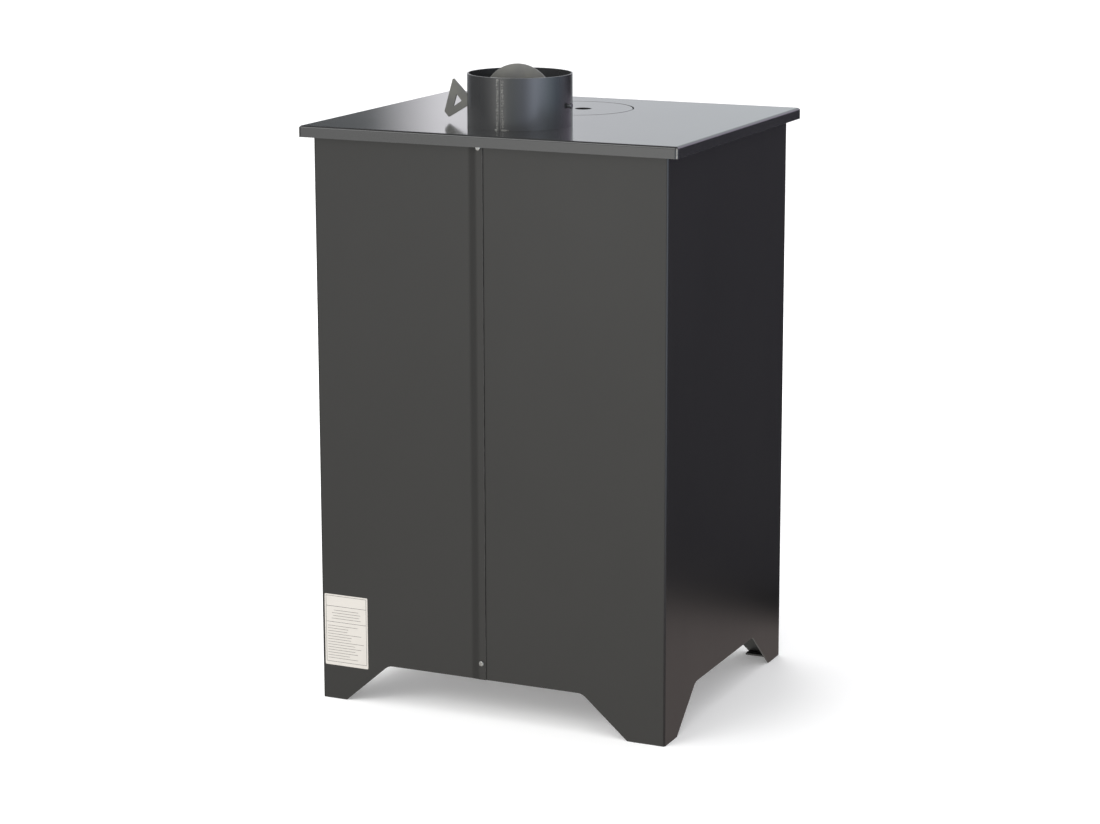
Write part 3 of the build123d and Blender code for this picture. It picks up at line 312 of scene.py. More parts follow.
class StoveSizes(bpy.types.PropertyGroup):
    seam_angle: bpy.props.FloatProperty(
        name="Seam angle", description="The collar's seam, in degrees from the right side", default=93.0
    )
    spot_radius: length("Weld crater radius", "Radius of each crater beside the collar's seam", 1.35 * MM)
    spot_pitch: length("Weld crater pitch", "Height from one crater to the next", 3.6 * MM)
    spot_column: length("Crater row offset", "From the seam's line to each row of craters", 3.9 * MM)
    bead_width: length("Weld bead width", "Width of the weld beads round the small parts", 3.2 * MM)
    tick_length: length("Dial tick", "Length of a long tick on the thermometer's dial", 2.6 * MM)
    numeral_height: length("Dial numeral", "Height of the numerals on the dial", 3.1 * MM)
    label_corner: length("Label corner", "Corner radius of the blank label", 1.6 * MM)
    camera_distance_scale: bpy.props.FloatProperty(
        name="Camera distance", description="1 puts the camera where the photograph was taken", default=1.0
    )


# ---- material maker


class Wiring:
    """A node tree and the few kinds of node that the finishes and the studio are wired from."""

    def __init__(self, tree):
        self.tree = tree

    def node(self, kind, inputs=None, **settings):
        made = self.tree.nodes.new(kind)
        for name, value in settings.items():
            setattr(made, name, value)
        for name, value in (inputs or {}).items():
            if isinstance(value, bpy.types.NodeSocket):
                self.tree.links.new(value, made.inputs[name])
            else:
                made.inputs[name].default_value = value
        return made

    def spread(self, value, low, high, to_low=0.0, to_high=1.0):
        """A value carried from one range to another, and kept inside it."""
        made = self.node(
            "ShaderNodeMapRange",
            {"Value": value, "From Min": low, "From Max": high, "To Min": to_low, "To Max": to_high},
        )
        return made.outputs["Result"]

    def times(self, first, second):
        return self.node("ShaderNodeMath", {0: first, 1: second}, operation="MULTIPLY").outputs[0]

    def plus(self, first, second):
        return self.node("ShaderNodeMath", {0: first, 1: second}, operation="ADD").outputs[0]

    def blend(self, factor, first, second, kind="MIX"):
        """Two colours mixed. Sockets 0, 6 and 7 of a Mix node are its factor and its two colours."""
        made = self.node("ShaderNodeMix", {0: factor, 6: first, 7: second}, data_type="RGBA", blend_type=kind)
        return made.outputs[2]

    def ramp(self, value, stops):
        made = self.node("ShaderNodeValToRGB", {"Fac": value})
        marks = made.color_ramp.elements
        while len(marks) < len(stops):
            marks.new(0.5)
        for mark, (at, tone) in zip(marks, stops):
            mark.position = at
            mark.color = (*tone, 1.0)
        return made.outputs["Color"]


class Finish(Wiring):
    """A material being made: its Principled shader and the nodes that feed it, on Object coordinates."""

    def __init__(self, name, **sockets):
        self.material = bpy.data.materials.new(name)
        self.material.use_nodes = True
        super().__init__(self.material.node_tree)
        self.shader = self.tree.nodes["Principled BSDF"]
        self.place = self.tree.nodes.new("ShaderNodeTexCoord").outputs["Object"]
        self.plain(**sockets)

    def plain(self, **sockets):
        """Sets sockets of the shader to values that are the same all over."""
        for name, value in sockets.items():
            self.shader.inputs[name.replace("_", " ")].default_value = value

    def feed(self, socket, output):
        """Wires a node's output into a socket of the shader."""
        self.tree.links.new(output, self.shader.inputs[socket])

    def stretched(self, scale, turn=(0.0, 0.0, 0.0)):
        """Coordinates for a pattern that runs in one direction."""
        made = self.node("ShaderNodeMapping", {"Vector": self.place, "Scale": scale, "Rotation": turn})
        return made.outputs["Vector"]

    def noise(self, scale, detail=3.0, rough=0.55, where=None, warp=0.0):
        inputs = {"Vector": where or self.place, "Scale": scale, "Detail": detail}
        inputs.update({"Roughness": rough, "Distortion": warp})
        return self.node("ShaderNodeTexNoise", inputs).outputs["Fac"]

    def cells(self, scale, where=None):
        return self.node("ShaderNodeTexVoronoi", {"Vector": where or self.place, "Scale": scale}).outputs

    def raised(self, height, depth, strength, under=None):
        """A bump of the given depth in metres, over the one under it where there is one."""
        inputs = {"Height": height, "Distance": depth, "Strength": strength}
        if under is not None:
            inputs["Normal"] = under
        return self.node("ShaderNodeBump", inputs).outputs["Normal"]

    def edges(self, radius):
        """1 on the sheet's edges and 0 on its faces, from how far a small bevel would turn the normal."""
        soft = self.node("ShaderNodeBevel", {"Radius": radius}, samples=4).outputs["Normal"]
        flat = self.node("ShaderNodeNewGeometry").outputs["Normal"]
        dot = self.node("ShaderNodeVectorMath", {0: soft, 1: flat}, operation="DOT_PRODUCT").outputs["Value"]
        return self.spread(dot, 1.0 - EDGE_TURN[0], 1.0 - EDGE_TURN[1])


def shade(value, factor):
    """A paler or darker tone of a colour."""
    return (*(min(1.0, c * factor) for c in value[:3]), 1.0)


def stove_paint(name, base, rubbed, roughness, grain=1.0, edge_radius=0.9 * MM, gloss=0.5):
    """Satin heat-resistant paint: a fine sprayed grain, slight clouding, and paler edges that are thinner
    paint and a painted highlight.
    """
    made = Finish(name, Specular_IOR_Level=gloss)
    cloud = made.spread(made.noise(3.2, 4.0, 0.6), 0.3, 0.7)
    body = made.blend(cloud, shade(base, 0.93), shade(base, 1.07))
    speck = made.spread(made.noise(1500.0, 2.0, 0.6), 0.35, 0.75)
    body = made.blend(made.times(speck, 0.5), body, shade(base, 1.35))
    # Paler edges: thinner paint over them, and a painted highlight along them.
    patchy_wear_and_highlight = made.spread(made.noise(55.0, 4.0, 0.65), 0.38, 0.68, 0.12, 0.85)
    worn = made.times(made.edges(edge_radius), patchy_wear_and_highlight)
    made.feed("Base Color", made.blend(worn, body, tuple(rubbed)))
    smear = made.noise(9.0, 5.0, 0.62, made.stretched((1.0, 1.0, 0.5)))
    made.feed("Roughness", made.spread(smear, 0.3, 0.7, roughness * 0.95, roughness * 1.05))
    sprayed = made.raised(made.noise(620.0, 2.0, 0.5), 0.03 * MM * grain, 0.5)
    made.feed("Normal", made.raised(made.noise(2.1, 2.0, 0.4), 0.2 * MM * grain, 0.3, sprayed))
    return made.material


def mill_scale(name, base):
    """Hot-rolled sheet: grey scale with bluish and brown clouds and fine rolling streaks."""
    made = Finish(name, Metallic=0.75)
    cloud = made.spread(made.noise(7.0, 5.0, 0.6, warp=0.4), 0.32, 0.7)
    body = made.blend(cloud, (base[0] * 0.72, base[1] * 0.76, base[2] * 0.86, 1.0), shade(base, 1.12))
    streak = made.spread(made.noise(60.0, 3.0, 0.6, made.stretched((1.0, 12.0, 1.0))), 0.4, 0.72)
    body = made.blend(made.times(streak, 0.35), body, (base[0] * 1.35, base[1] * 1.15, base[2] * 0.95, 1.0))
    worn = made.times(made.edges(0.7 * MM), made.spread(made.noise(80.0, 3.0), 0.35, 0.65, 0.15, 0.9))
    made.feed("Base Color", made.blend(worn, body, (0.42, 0.41, 0.4, 1.0)))
    made.feed("Roughness", made.spread(made.noise(22.0, 4.0, 0.6), 0.3, 0.7, 0.4, 0.6))
    made.feed("Normal", made.raised(made.noise(380.0, 3.0, 0.6), 0.05 * MM, 0.5))
    return made.material


def zinc_plate(name, base):
    """Zinc plate: soft spangle with a little dulling."""
    made = Finish(name, Metallic=0.75)
    tone = made.node("ShaderNodeSeparateColor", {"Color": made.cells(150.0)["Color"]}).outputs["Red"]
    body = made.blend(made.times(tone, 0.55), shade(base, 0.9), shade(base, 1.1))
    dull = made.spread(made.noise(24.0, 4.0, 0.6), 0.45, 0.75)
    made.feed("Base Color", made.blend(made.times(dull, 0.4), body, shade(base, 0.66)))
    made.feed("Roughness", made.spread(tone, 0.0, 1.0, 0.36, 0.48))
    return made.material


def dull_sheet(name, base):
    """Bare sheet gone dull in the flue's heat: grey-olive oxide, fine drawing lines, paler rubbed edges."""
    made = Finish(name, Metallic=0.5)
    cloud = made.spread(made.noise(26.0, 4.0, 0.6), 0.35, 0.7)
    body = made.blend(cloud, shade(base, 0.88), (base[0] * 1.12, base[1] * 1.12, base[2] * 1.04, 1.0))
    worn = made.times(made.edges(0.6 * MM), made.spread(made.noise(90.0, 3.0), 0.35, 0.65, 0.2, 0.9))
    made.feed("Base Color", made.blend(worn, body, shade(base, 2.4)))
    line = made.noise(300.0, 3.0, 0.6, made.stretched((1.0, 1.0, 10.0)))
    made.feed("Roughness", made.spread(line, 0.3, 0.7, 0.38, 0.48))
    made.feed("Normal", made.raised(line, 0.012 * MM, 0.4))
    return made.material


def darkened_zinc(name, base):
    """Dark zinc of the small screws: blotchy, with a crisp shine left on the turned edges."""
    made = Finish(name, Metallic=0.9)
    blotch = made.spread(made.noise(900.0, 3.0, 0.6), 0.35, 0.7)
    body = made.blend(blotch, shade(base, 0.7), shade(base, 1.2))
    worn = made.times(made.edges(0.35 * MM), made.spread(made.noise(500.0, 3.0), 0.4, 0.65, 0.2, 1.0))
    made.feed("Base Color", made.blend(worn, body, shade(base, 3.5)))
    made.feed("Roughness", made.spread(blotch, 0.0, 1.0, 0.14, 0.3))
    made.feed("Normal", made.raised(made.noise(1500.0, 2.0), 0.01 * MM, 0.4))
    return made.material


def brushed_steel(name, base):
    """Brushed bar: fine rings of the belt, finger marks that dull it in places."""
    made = Finish(name, Metallic=1.0)
    line = made.noise(260.0, 3.0, 0.6, made.stretched((1.0, 1.0, 9.0)))
    body = made.blend(made.spread(line, 0.35, 0.65), shade(base, 0.88), shade(base, 1.1))
    made.feed("Base Color", body)
    touched = made.spread(made.noise(38.0, 3.0, 0.55), 0.5, 0.75)
    made.feed("Roughness", made.spread(made.plus(touched, line), 0.35, 1.5, 0.22, 0.46))
    made.feed("Normal", made.raised(line, 0.018 * MM, 0.5))
    return made.material


def cast_iron(name, base):
    """Sand-cast iron: coarse grainy skin, worn grey edges, a breath of rust."""
    made = Finish(name, Metallic=0.35, Roughness=0.72)
    cloud = made.spread(made.noise(35.0, 5.0, 0.65), 0.35, 0.7)
    body = made.blend(cloud, shade(base, 0.75), shade(base, 1.3))
    rust = made.spread(made.noise(18.0, 6.0, 0.7), 0.56, 0.74, 0.0, 0.5)
    body = made.blend(rust, body, (0.085, 0.045, 0.026, 1.0))
    worn = made.times(made.edges(1.2 * MM), made.spread(made.noise(60.0, 3.0), 0.4, 0.7, 0.1, 0.7))
    made.feed("Base Color", made.blend(worn, body, (0.17, 0.165, 0.16, 1.0)))
    coarse = made.raised(made.noise(420.0, 4.0, 0.7), 0.22 * MM, 0.8)
    made.feed("Normal", made.raised(made.cells(260.0)["Distance"], 0.08 * MM, 0.5, coarse))
    return made.material


def vitreous_enamel(name, base):
    """Oven enamel: dark grey glaze with small pale flecks under a glassy surface."""
    made = Finish(name, Coat_Weight=0.4, Coat_Roughness=0.1)
    fleck = made.spread(made.cells(420.0)["Distance"], 0.11, 0.06)
    few = made.spread(made.noise(160.0, 2.0), 0.52, 0.6)
    made.feed("Base Color", made.blend(made.times(fleck, few), tuple(base), (0.3, 0.31, 0.34, 1.0)))
    made.feed("Roughness", made.spread(made.noise(30.0, 4.0, 0.6), 0.3, 0.7, 0.12, 0.24))
    made.feed("Normal", made.raised(made.noise(160.0, 2.0, 0.5), 0.07 * MM, 0.35))
    return made.material


def pressed_vermiculite(name, base):
    """Vermiculite brick: golden flakes pressed flat, chalky, with pale chipped edges."""
    made = Finish(name, Roughness=0.88, Specular_IOR_Level=0.3)
    flake = made.cells(300.0, made.stretched((1.0, 1.0, 1.3)))
    tone = made.node("ShaderNodeSeparateColor", {"Color": flake["Color"]}).outputs["Green"]
    body = made.blend(made.spread(tone, 0.1, 0.95), shade(base, 0.62), shade(base, 1.28))
    dark = made.spread(tone, 0.86, 0.92)
    body = made.blend(made.times(dark, 0.7), body, (0.2, 0.135, 0.07, 1.0))
    stain = made.spread(made.noise(9.0, 4.0, 0.6), 0.4, 0.75, 0.0, 0.35)
    body = made.blend(stain, body, shade(base, 0.7))
    worn = made.times(made.edges(2.2 * MM), made.spread(made.noise(70.0, 3.0), 0.4, 0.7))
    made.feed("Base Color", made.blend(worn, body, shade(base, 1.45)))
    rough = made.raised(flake["Distance"], 0.35 * MM, 0.6)
    made.feed("Normal", made.raised(made.noise(110.0, 4.0, 0.6), 0.4 * MM, 0.5, rough))
    return made.material


def fire_glass(name, tint):
    """Clear glass ceramic, a touch amber, with a faint wiped-on haze."""
    made = Finish(name, IOR=1.38, Transmission_Weight=1.0)
    haze = made.spread(made.noise(7.0, 4.0, 0.55, made.stretched((1.0, 1.0, 0.5))), 0.45, 0.85)
    made.feed("Base Color", made.blend(haze, tuple(tint), shade(tint, 0.93)))
    made.feed("Roughness", made.times(haze, 0.012))
    return made.material


def fibre_rope(name, base):
    """Glass-fibre rope: dark yarns with pale broken fibres."""
    made = Finish(name, Roughness=0.92, Sheen_Weight=0.35, Sheen_Roughness=0.5)
    yarn = made.noise(900.0, 4.0, 0.7, made.stretched((1.0, 1.0, 1.0), (0.0, 0.7, 0.0)))
    body = made.blend(made.spread(yarn, 0.35, 0.68), shade(base, 0.55), shade(base, 1.7))
    pale = made.spread(made.noise(2200.0, 2.0), 0.66, 0.74, 0.0, 0.6)
    made.feed("Base Color", made.blend(pale, body, (0.26, 0.26, 0.25, 1.0)))
    made.feed("Normal", made.raised(yarn, 0.3 * MM, 0.8))
    return made.material


def phenolic(name, base):
    """Moulded phenolic: black, half-gloss, faintly mottled, greyer where hands rub it."""
    made = Finish(name)
    mottle = made.spread(made.noise(120.0, 4.0, 0.6), 0.35, 0.7)
    body = made.blend(mottle, shade(base, 0.8), shade(base, 1.4))
    rubbed = made.spread(made.noise(26.0, 3.0, 0.6), 0.5, 0.78, 0.0, 0.5)
    made.feed("Base Color", made.blend(rubbed, body, shade(base, 2.6)))
    made.feed("Roughness", made.spread(rubbed, 0.0, 0.5, 0.33, 0.5))
    made.feed("Normal", made.raised(made.noise(700.0, 2.0), 0.02 * MM, 0.5))
    return made.material


def coated_paper(name, base):
    """Label stock: white with a soft sheen, faint fibres and a little grime."""
    made = Finish(name, Specular_IOR_Level=0.35)
    fibre = made.spread(made.noise(900.0, 3.0, 0.6, made.stretched((1.0, 1.0, 3.0))), 0.3, 0.7)
    body = made.blend(fibre, shade(base, 0.97), shade(base, 1.03))
    grime = made.spread(made.noise(45.0, 4.0, 0.6), 0.5, 0.8, 0.0, 0.3)
    made.feed("Base Color", made.blend(grime, body, shade(base, 0.86)))
    made.feed("Roughness", made.spread(fibre, 0.0, 1.0, 0.46, 0.56))
    made.feed("Normal", made.raised(made.noise(1100.0, 2.0), 0.012 * MM, 0.5))
    return made.material


def printed_ink(name, base):
    """Screen-printed ink, slightly uneven."""
    made = Finish(name, Roughness=0.45)
    uneven = made.spread(made.noise(1400.0, 3.0, 0.6), 0.35, 0.7)
    made.feed("Base Color", made.blend(uneven, shade(base, 0.8), shade(base, 1.9)))
    made.feed("Normal", made.raised(made.noise(1600.0, 2.0), 0.006 * MM, 0.5))
    return made.material


def bright_chrome(name, base):
    """Polished bezel with faint wipe marks."""
    made = Finish(name, Metallic=1.0)
    wipe = made.spread(made.noise(90.0, 5.0, 0.65, made.stretched((1.0, 1.0, 4.0))), 0.4, 0.75)
    made.feed("Base Color", made.blend(wipe, tuple(base), shade(base, 0.86)))
    made.feed("Roughness", made.spread(wipe, 0.0, 1.0, 0.07, 0.2))
    made.feed("Normal", made.raised(made.noise(300.0, 2.0), 0.006 * MM, 0.4))
    return made.material


def red_enamel(name, base):
    """Sprayed red enamel of the needle."""
    made = Finish(name, Roughness=0.3)
    uneven = made.spread(made.noise(700.0, 3.0, 0.6), 0.35, 0.7)
    made.feed("Base Color", made.blend(uneven, shade(base, 0.85), shade(base, 1.12)))
    made.feed("Normal", made.raised(made.noise(1200.0, 2.0), 0.008 * MM, 0.4))
    return made.material


def ground_weld(name, rubbed, hollow=0.3):
    """Weld metal under paint: lumpy, paler on its crests."""
    made = Finish(name)
    crest = made.spread(made.noise(420.0, 3.0, 0.6), 0.38, 0.66)
    made.feed("Base Color", made.blend(crest, shade(rubbed, hollow), shade(rubbed, 1.05)))
    made.feed("Roughness", made.spread(crest, 0.0, 1.0, 0.5, 0.34))
    made.feed("Normal", made.raised(made.noise(800.0, 3.0), 0.08 * MM, 0.6))
    return made.material


def coat_node(node, material):
    """Puts a material on one CAD node."""
    mesh = frame["nodes"][node].data
    mesh.materials.clear()
    mesh.materials.append(material)


def coat(slot, material):
    """Puts a material on every CAD node of that slot of the record."""
    for part in frame["record"]["subparts"]:
        if part["material_slot"] == slot:
            coat_node(part["node"], material)


# ---- piece maker


def mesh_of(name, bm, *materials):
    """Turns a finished bmesh into a mesh with its materials."""
    mesh = bpy.data.meshes.new(name)
    bm.to_mesh(mesh)
    bm.free()
    for material in materials:
        mesh.materials.append(material)
    return mesh


def linked(name, data):
    """An object of a mesh, lamp or camera, linked to the scene."""
    made = bpy.data.objects.new(name, data)
    bpy.context.scene.collection.objects.link(made)
    return made


def piece(name, bm, body, slot, *materials):
    """Turns a finished bmesh into an object that rides on a CAD body."""
    mesh = mesh_of(name, bm, *materials)
    mesh.shade_smooth()
    mesh.set_sharp_from_angle(angle=math.radians(SHARP_ANGLE))
    made = linked(name, mesh)
    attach(made, body)
    return made


def blob(bm, centre, size, turn):
    """One flattened lump: an icosphere of the given half-sizes, turned, at a place."""
    matrix = Matrix.Translation(centre) @ turn @ Matrix.Diagonal((*size, 1.0))
    bmesh.ops.create_icosphere(bm, subdivisions=2, radius=1.0, matrix=matrix)


def bead(bm, start, end, width, lift, seed, pitch=0.55):
    """A weld bead: overlapping lumps from start to end, on a surface whose normal is lift."""
    chance = random.Random(seed)
    start, end = Vector(start), Vector(end)
    run = end - start
    along = run.normalized()
    up = Vector(lift).normalized()
    turn = Matrix((along, up.cross(along), up)).transposed().to_4x4()
    count = max(2, round(run.length / (width * pitch)))
    for n in range(count):
        at = start + run * ((n + 0.5) / count)
        size = width / 2 * chance.uniform(*LUMP_VARIETY)
        blob(bm, at, (size * LUMP_LENGTH, size, size * LUMP_HEIGHT), turn)


def crater(bm, centre, turn, radius):
    """One weld crater: a raised ring round a pit, spun about the wall's outward normal (local +X)."""
    place = Matrix.Translation(centre) @ turn
    profile = [Vector((CRATER_LIFT * height, radius * out, 0.0)) for out, height in CRATER_PROFILE]
    dots = [bm.verts.new(place @ dot) for dot in profile]
    lines = [bm.edges.new(pair) for pair in zip(dots, dots[1:])]
    normal = place.to_3x3() @ Vector((1.0, 0.0, 0.0))
    bmesh.ops.spin(
        bm, geom=dots + lines, cent=centre, axis=normal, angle=math.tau, steps=CRATER_SPOKES, use_merge=True
    )


def collar_point(angle, height, out=0.0):
    """A point on the collar's outside, angle counted from +X."""
    r = COLLAR_RADIUS + out
    return Vector((COLLAR_X + r * math.cos(angle), COLLAR_Y + r * math.sin(angle), height))


def collar_strip(bm, start, end, low, high, lift):
    """A thin upright strip on the collar's wall between two angles, from low to high, standing lift proud."""
    corners = [(start, -WALL_SINK), (end, -WALL_SINK), (end, lift), (start, lift)]
    foot = bm.faces.new([bm.verts.new(collar_point(angle, low, out)) for angle, out in corners])
    grown = bmesh.ops.extrude_face_region(bm, geom=[foot])
    raised = [v for v in grown["geom"] if isinstance(v, bmesh.types.BMVert)]
    bmesh.ops.translate(bm, verts=raised, vec=(0.0, 0.0, high - low))
    bmesh.ops.recalc_face_normals(bm, faces=bm.faces[:])


# ---- stage maker


def lay_floor():
    """A wide pale floor, lit a little by itself, which no glossy surface mirrors."""
    pale = Finish("studio floor", Roughness=0.9, Specular_IOR_Level=0.0)
    pale.feed("Base Color", pale.blend(pale.noise(6.0, 3.0), *FLOOR_TONES))
    pale.plain(Emission_Color=(1.0, 1.0, 1.0, 1.0), Emission_Strength=FLOOR_GLOW)
    ground = bmesh.new()
    bmesh.ops.create_circle(ground, cap_ends=True, segments=96, radius=FLOOR_RADIUS)
    floor = linked("studio_floor", mesh_of("studio_floor", ground, pale.material))
    floor.visible_glossy = False


def lay_paper():
    """A warm glowing sheet on the floor, seen only as a reflection low on the stove's upright walls."""
    glow = Finish("paper glow", Roughness=1.0, Specular_IOR_Level=0.0)
    apart = glow.node("ShaderNodeSeparateXYZ", {"Vector": glow.place}).outputs
    fade = glow.times(glow.spread(apart["Y"], *PAPER_FADE_Y), glow.spread(apart["X"], *PAPER_FADE_X))
    glow.plain(Base_Color=(0.0, 0.0, 0.0, 1.0), Emission_Color=PAPER_TINT)
    glow.feed("Emission Strength", glow.times(fade, PAPER_GLOW))
    paper = bmesh.new()
    bmesh.ops.create_grid(paper, x_segments=1, y_segments=1, size=0.5)
    bmesh.ops.scale(paper, vec=PAPER_SIZE, verts=paper.verts[:])
    bmesh.ops.translate(paper, vec=PAPER_CENTRE, verts=paper.verts[:])
    sheet = linked("paper_glow", mesh_of("paper_glow", paper, glow.material))
    sheet.visible_camera = False
    sheet.visible_diffuse = False
    sheet.visible_shadow = False
    sheet.visible_transmission = False


def studio_room():
    """The world: cards for glossy surfaces, an even dome for matt ones and a white backdrop."""
    world = bpy.data.worlds.new("studio")
    world.use_nodes = True
    room = Wiring(world.node_tree)
    room.tree.nodes.clear()
    rays = room.node("ShaderNodeLightPath").outputs
    aim = room.node("ShaderNodeTexCoord").outputs["Generated"]
    around = room.node("ShaderNodeTexGradient", {"Vector": aim}, gradient_type="RADIAL").outputs["Fac"]
    height = room.node("ShaderNodeSeparateXYZ", {"Vector": aim}).outputs["Z"]
    rise = room.spread(height, -1.0, 1.0)
    low = room.blend(1.0, room.ramp(around, ramp_stops(LOW_CARDS)), room.ramp(rise, LOW_FADE), "MULTIPLY")
    middle = room.ramp(around, ramp_stops(MIDDLE_CARDS))
    high = room.blend(1.0, room.ramp(around, ramp_stops(HIGH_CARDS)), room.ramp(rise, HIGH_FADE), "MULTIPLY")
    cards = room.blend(room.spread(height, *LOW_TO_FLOOR), low, FLOOR_MIRRORED)
    cards = room.blend(room.spread(height, *LOW_TO_MIDDLE), cards, middle)
    cards = room.blend(room.spread(height, *MIDDLE_TO_HIGH), cards, high)
    seen = room.blend(rays["Is Glossy Ray"], room.ramp(around, ramp_stops(DOME)), cards)
    seen = room.blend(rays["Is Camera Ray"], seen, BACKDROP)
    light = room.node("ShaderNodeBackground", {"Color": seen}).outputs["Background"]
    room.node("ShaderNodeOutputWorld", {"Surface": light})
    return world


def set_up_softboxes():
    """The softboxes, which light matt surfaces and show in no glossy one."""
    for name, place, (wide, tall), power in SOFTBOXES:
        lamp = bpy.data.lights.new(name, "AREA")
        lamp.shape = "RECTANGLE"
        lamp.size, lamp.size_y = wide, tall
        lamp.energy = power
        stand = linked(name, lamp)
        stand.location = place
        stand.rotation_euler = (SOFTBOX_AIM - Vector(place)).to_track_quat("-Z", "Y").to_euler()
        stand.visible_glossy = False


def photograph_camera(distance):
    """The camera of the photograph, moved towards or away from the stove by the factor distance."""
    turn, tilt, roll = CAMERA_TURN, CAMERA_TILT, CAMERA_ROLL
    stood = CAMERA_TARGET + (CAMERA_PLACE - CAMERA_TARGET) * distance
    forward = Vector((math.sin(turn) * math.cos(tilt), -math.cos(turn) * math.cos(tilt), -math.sin(tilt)))
    level = Vector((-math.cos(turn), -math.sin(turn), 0.0))
    right = level * math.cos(roll) + level.cross(forward) * math.sin(roll)
    upright = right.cross(forward)
    lens = bpy.data.cameras.new("photograph")
    lens.sensor_fit = "HORIZONTAL"
    lens.sensor_width = SENSOR_WIDTH
    lens.lens = FOCAL_LENGTH / PHOTO_WIDTH * SENSOR_WIDTH
    lens.shift_y = FRAME_SHIFT / PHOTO_WIDTH
    lens.clip_end = CAMERA_REACH
    camera = linked("photograph", lens)
    facing = Matrix((right, upright, -forward)).transposed().to_4x4()
    camera.matrix_world = Matrix.Translation(stood) @ facing
    return camera


# ---- operators


class STOVE_OT_paint(bpy.types.Operator):
    """Coats the painted sheets: casing, front, hob, collar and hinges"""

    bl_idname = "stove.paint"
    bl_label = "Paint the sheets"

    def execute(self, context):
        tone = context.scene.stove_paint
        rubbed = tone.rubbed
        coat("casing_paint", stove_paint("casing paint", tone.casing, rubbed, 0.3))
        coat("front_paint", stove_paint("front paint", tone.front, rubbed, 0.34))
        coat("hob_paint", stove_paint("hob paint", tone.hob, rubbed, **HOB_LOOK))
        coat("collar_paint", stove_paint("collar paint", tone.collar, rubbed, **COLLAR_LOOK))
        coat("hinge_steel", stove_paint("hinge paint", tone.hinge, rubbed, **HINGE_LOOK))
        return {"FINISHED"}


class STOVE_OT_metals(bpy.types.Operator):
    """Gives the bare and plated metal parts their finish"""

    bl_idname = "stove.metals"
    bl_label = "Finish the bare metal"

    def execute(self, context):
        tone = context.scene.stove_metal
        coat("bare_steel", mill_scale("mill scale", tone.mill))
        coat("bright_steel", zinc_plate("zinc plate", tone.zinc))
        coat("handle_steel", brushed_steel("brushed steel", tone.handle))
        coat("bezel_chrome", bright_chrome("bezel chrome", tone.chrome))
        coat("grate_iron", cast_iron("grate iron", tone.iron))
        coat("damper_steel", dull_sheet("damper sheet", tone.damper))
        # The lever is the disc's sheet darkened as painted shade.
        coat_node("damper_handle", dull_sheet("damper lever painted shade", shade(tone.damper, LEVER_PAINTED_SHADE)))
        coat_node("casing_seam_screws", darkened_zinc("darkened zinc", tone.screw))
        return {"FINISHED"}


class STOVE_OT_linings(bpy.types.Operator):
    """Gives enamel, bricks, glass, rope, grips, label and needle their finish"""

    bl_idname = "stove.linings"
    bl_label = "Finish linings and trim"

    def execute(self, context):
        tone = context.scene.stove_other
        coat("oven_enamel", vitreous_enamel("oven enamel", tone.enamel))
        coat("fire_lining", pressed_vermiculite("pressed vermiculite", tone.brick))
        coat("door_glass", fire_glass("glass ceramic", tone.glass))
        coat("rope_seal", fibre_rope("fibre rope", tone.rope))
        coat("grip_plastic", phenolic("black phenolic", tone.grip))
        coat("label_white", coated_paper("label stock", tone.label))
        coat("pointer_red", red_enamel("red enamel", tone.needle))
        return {"FINISHED"}


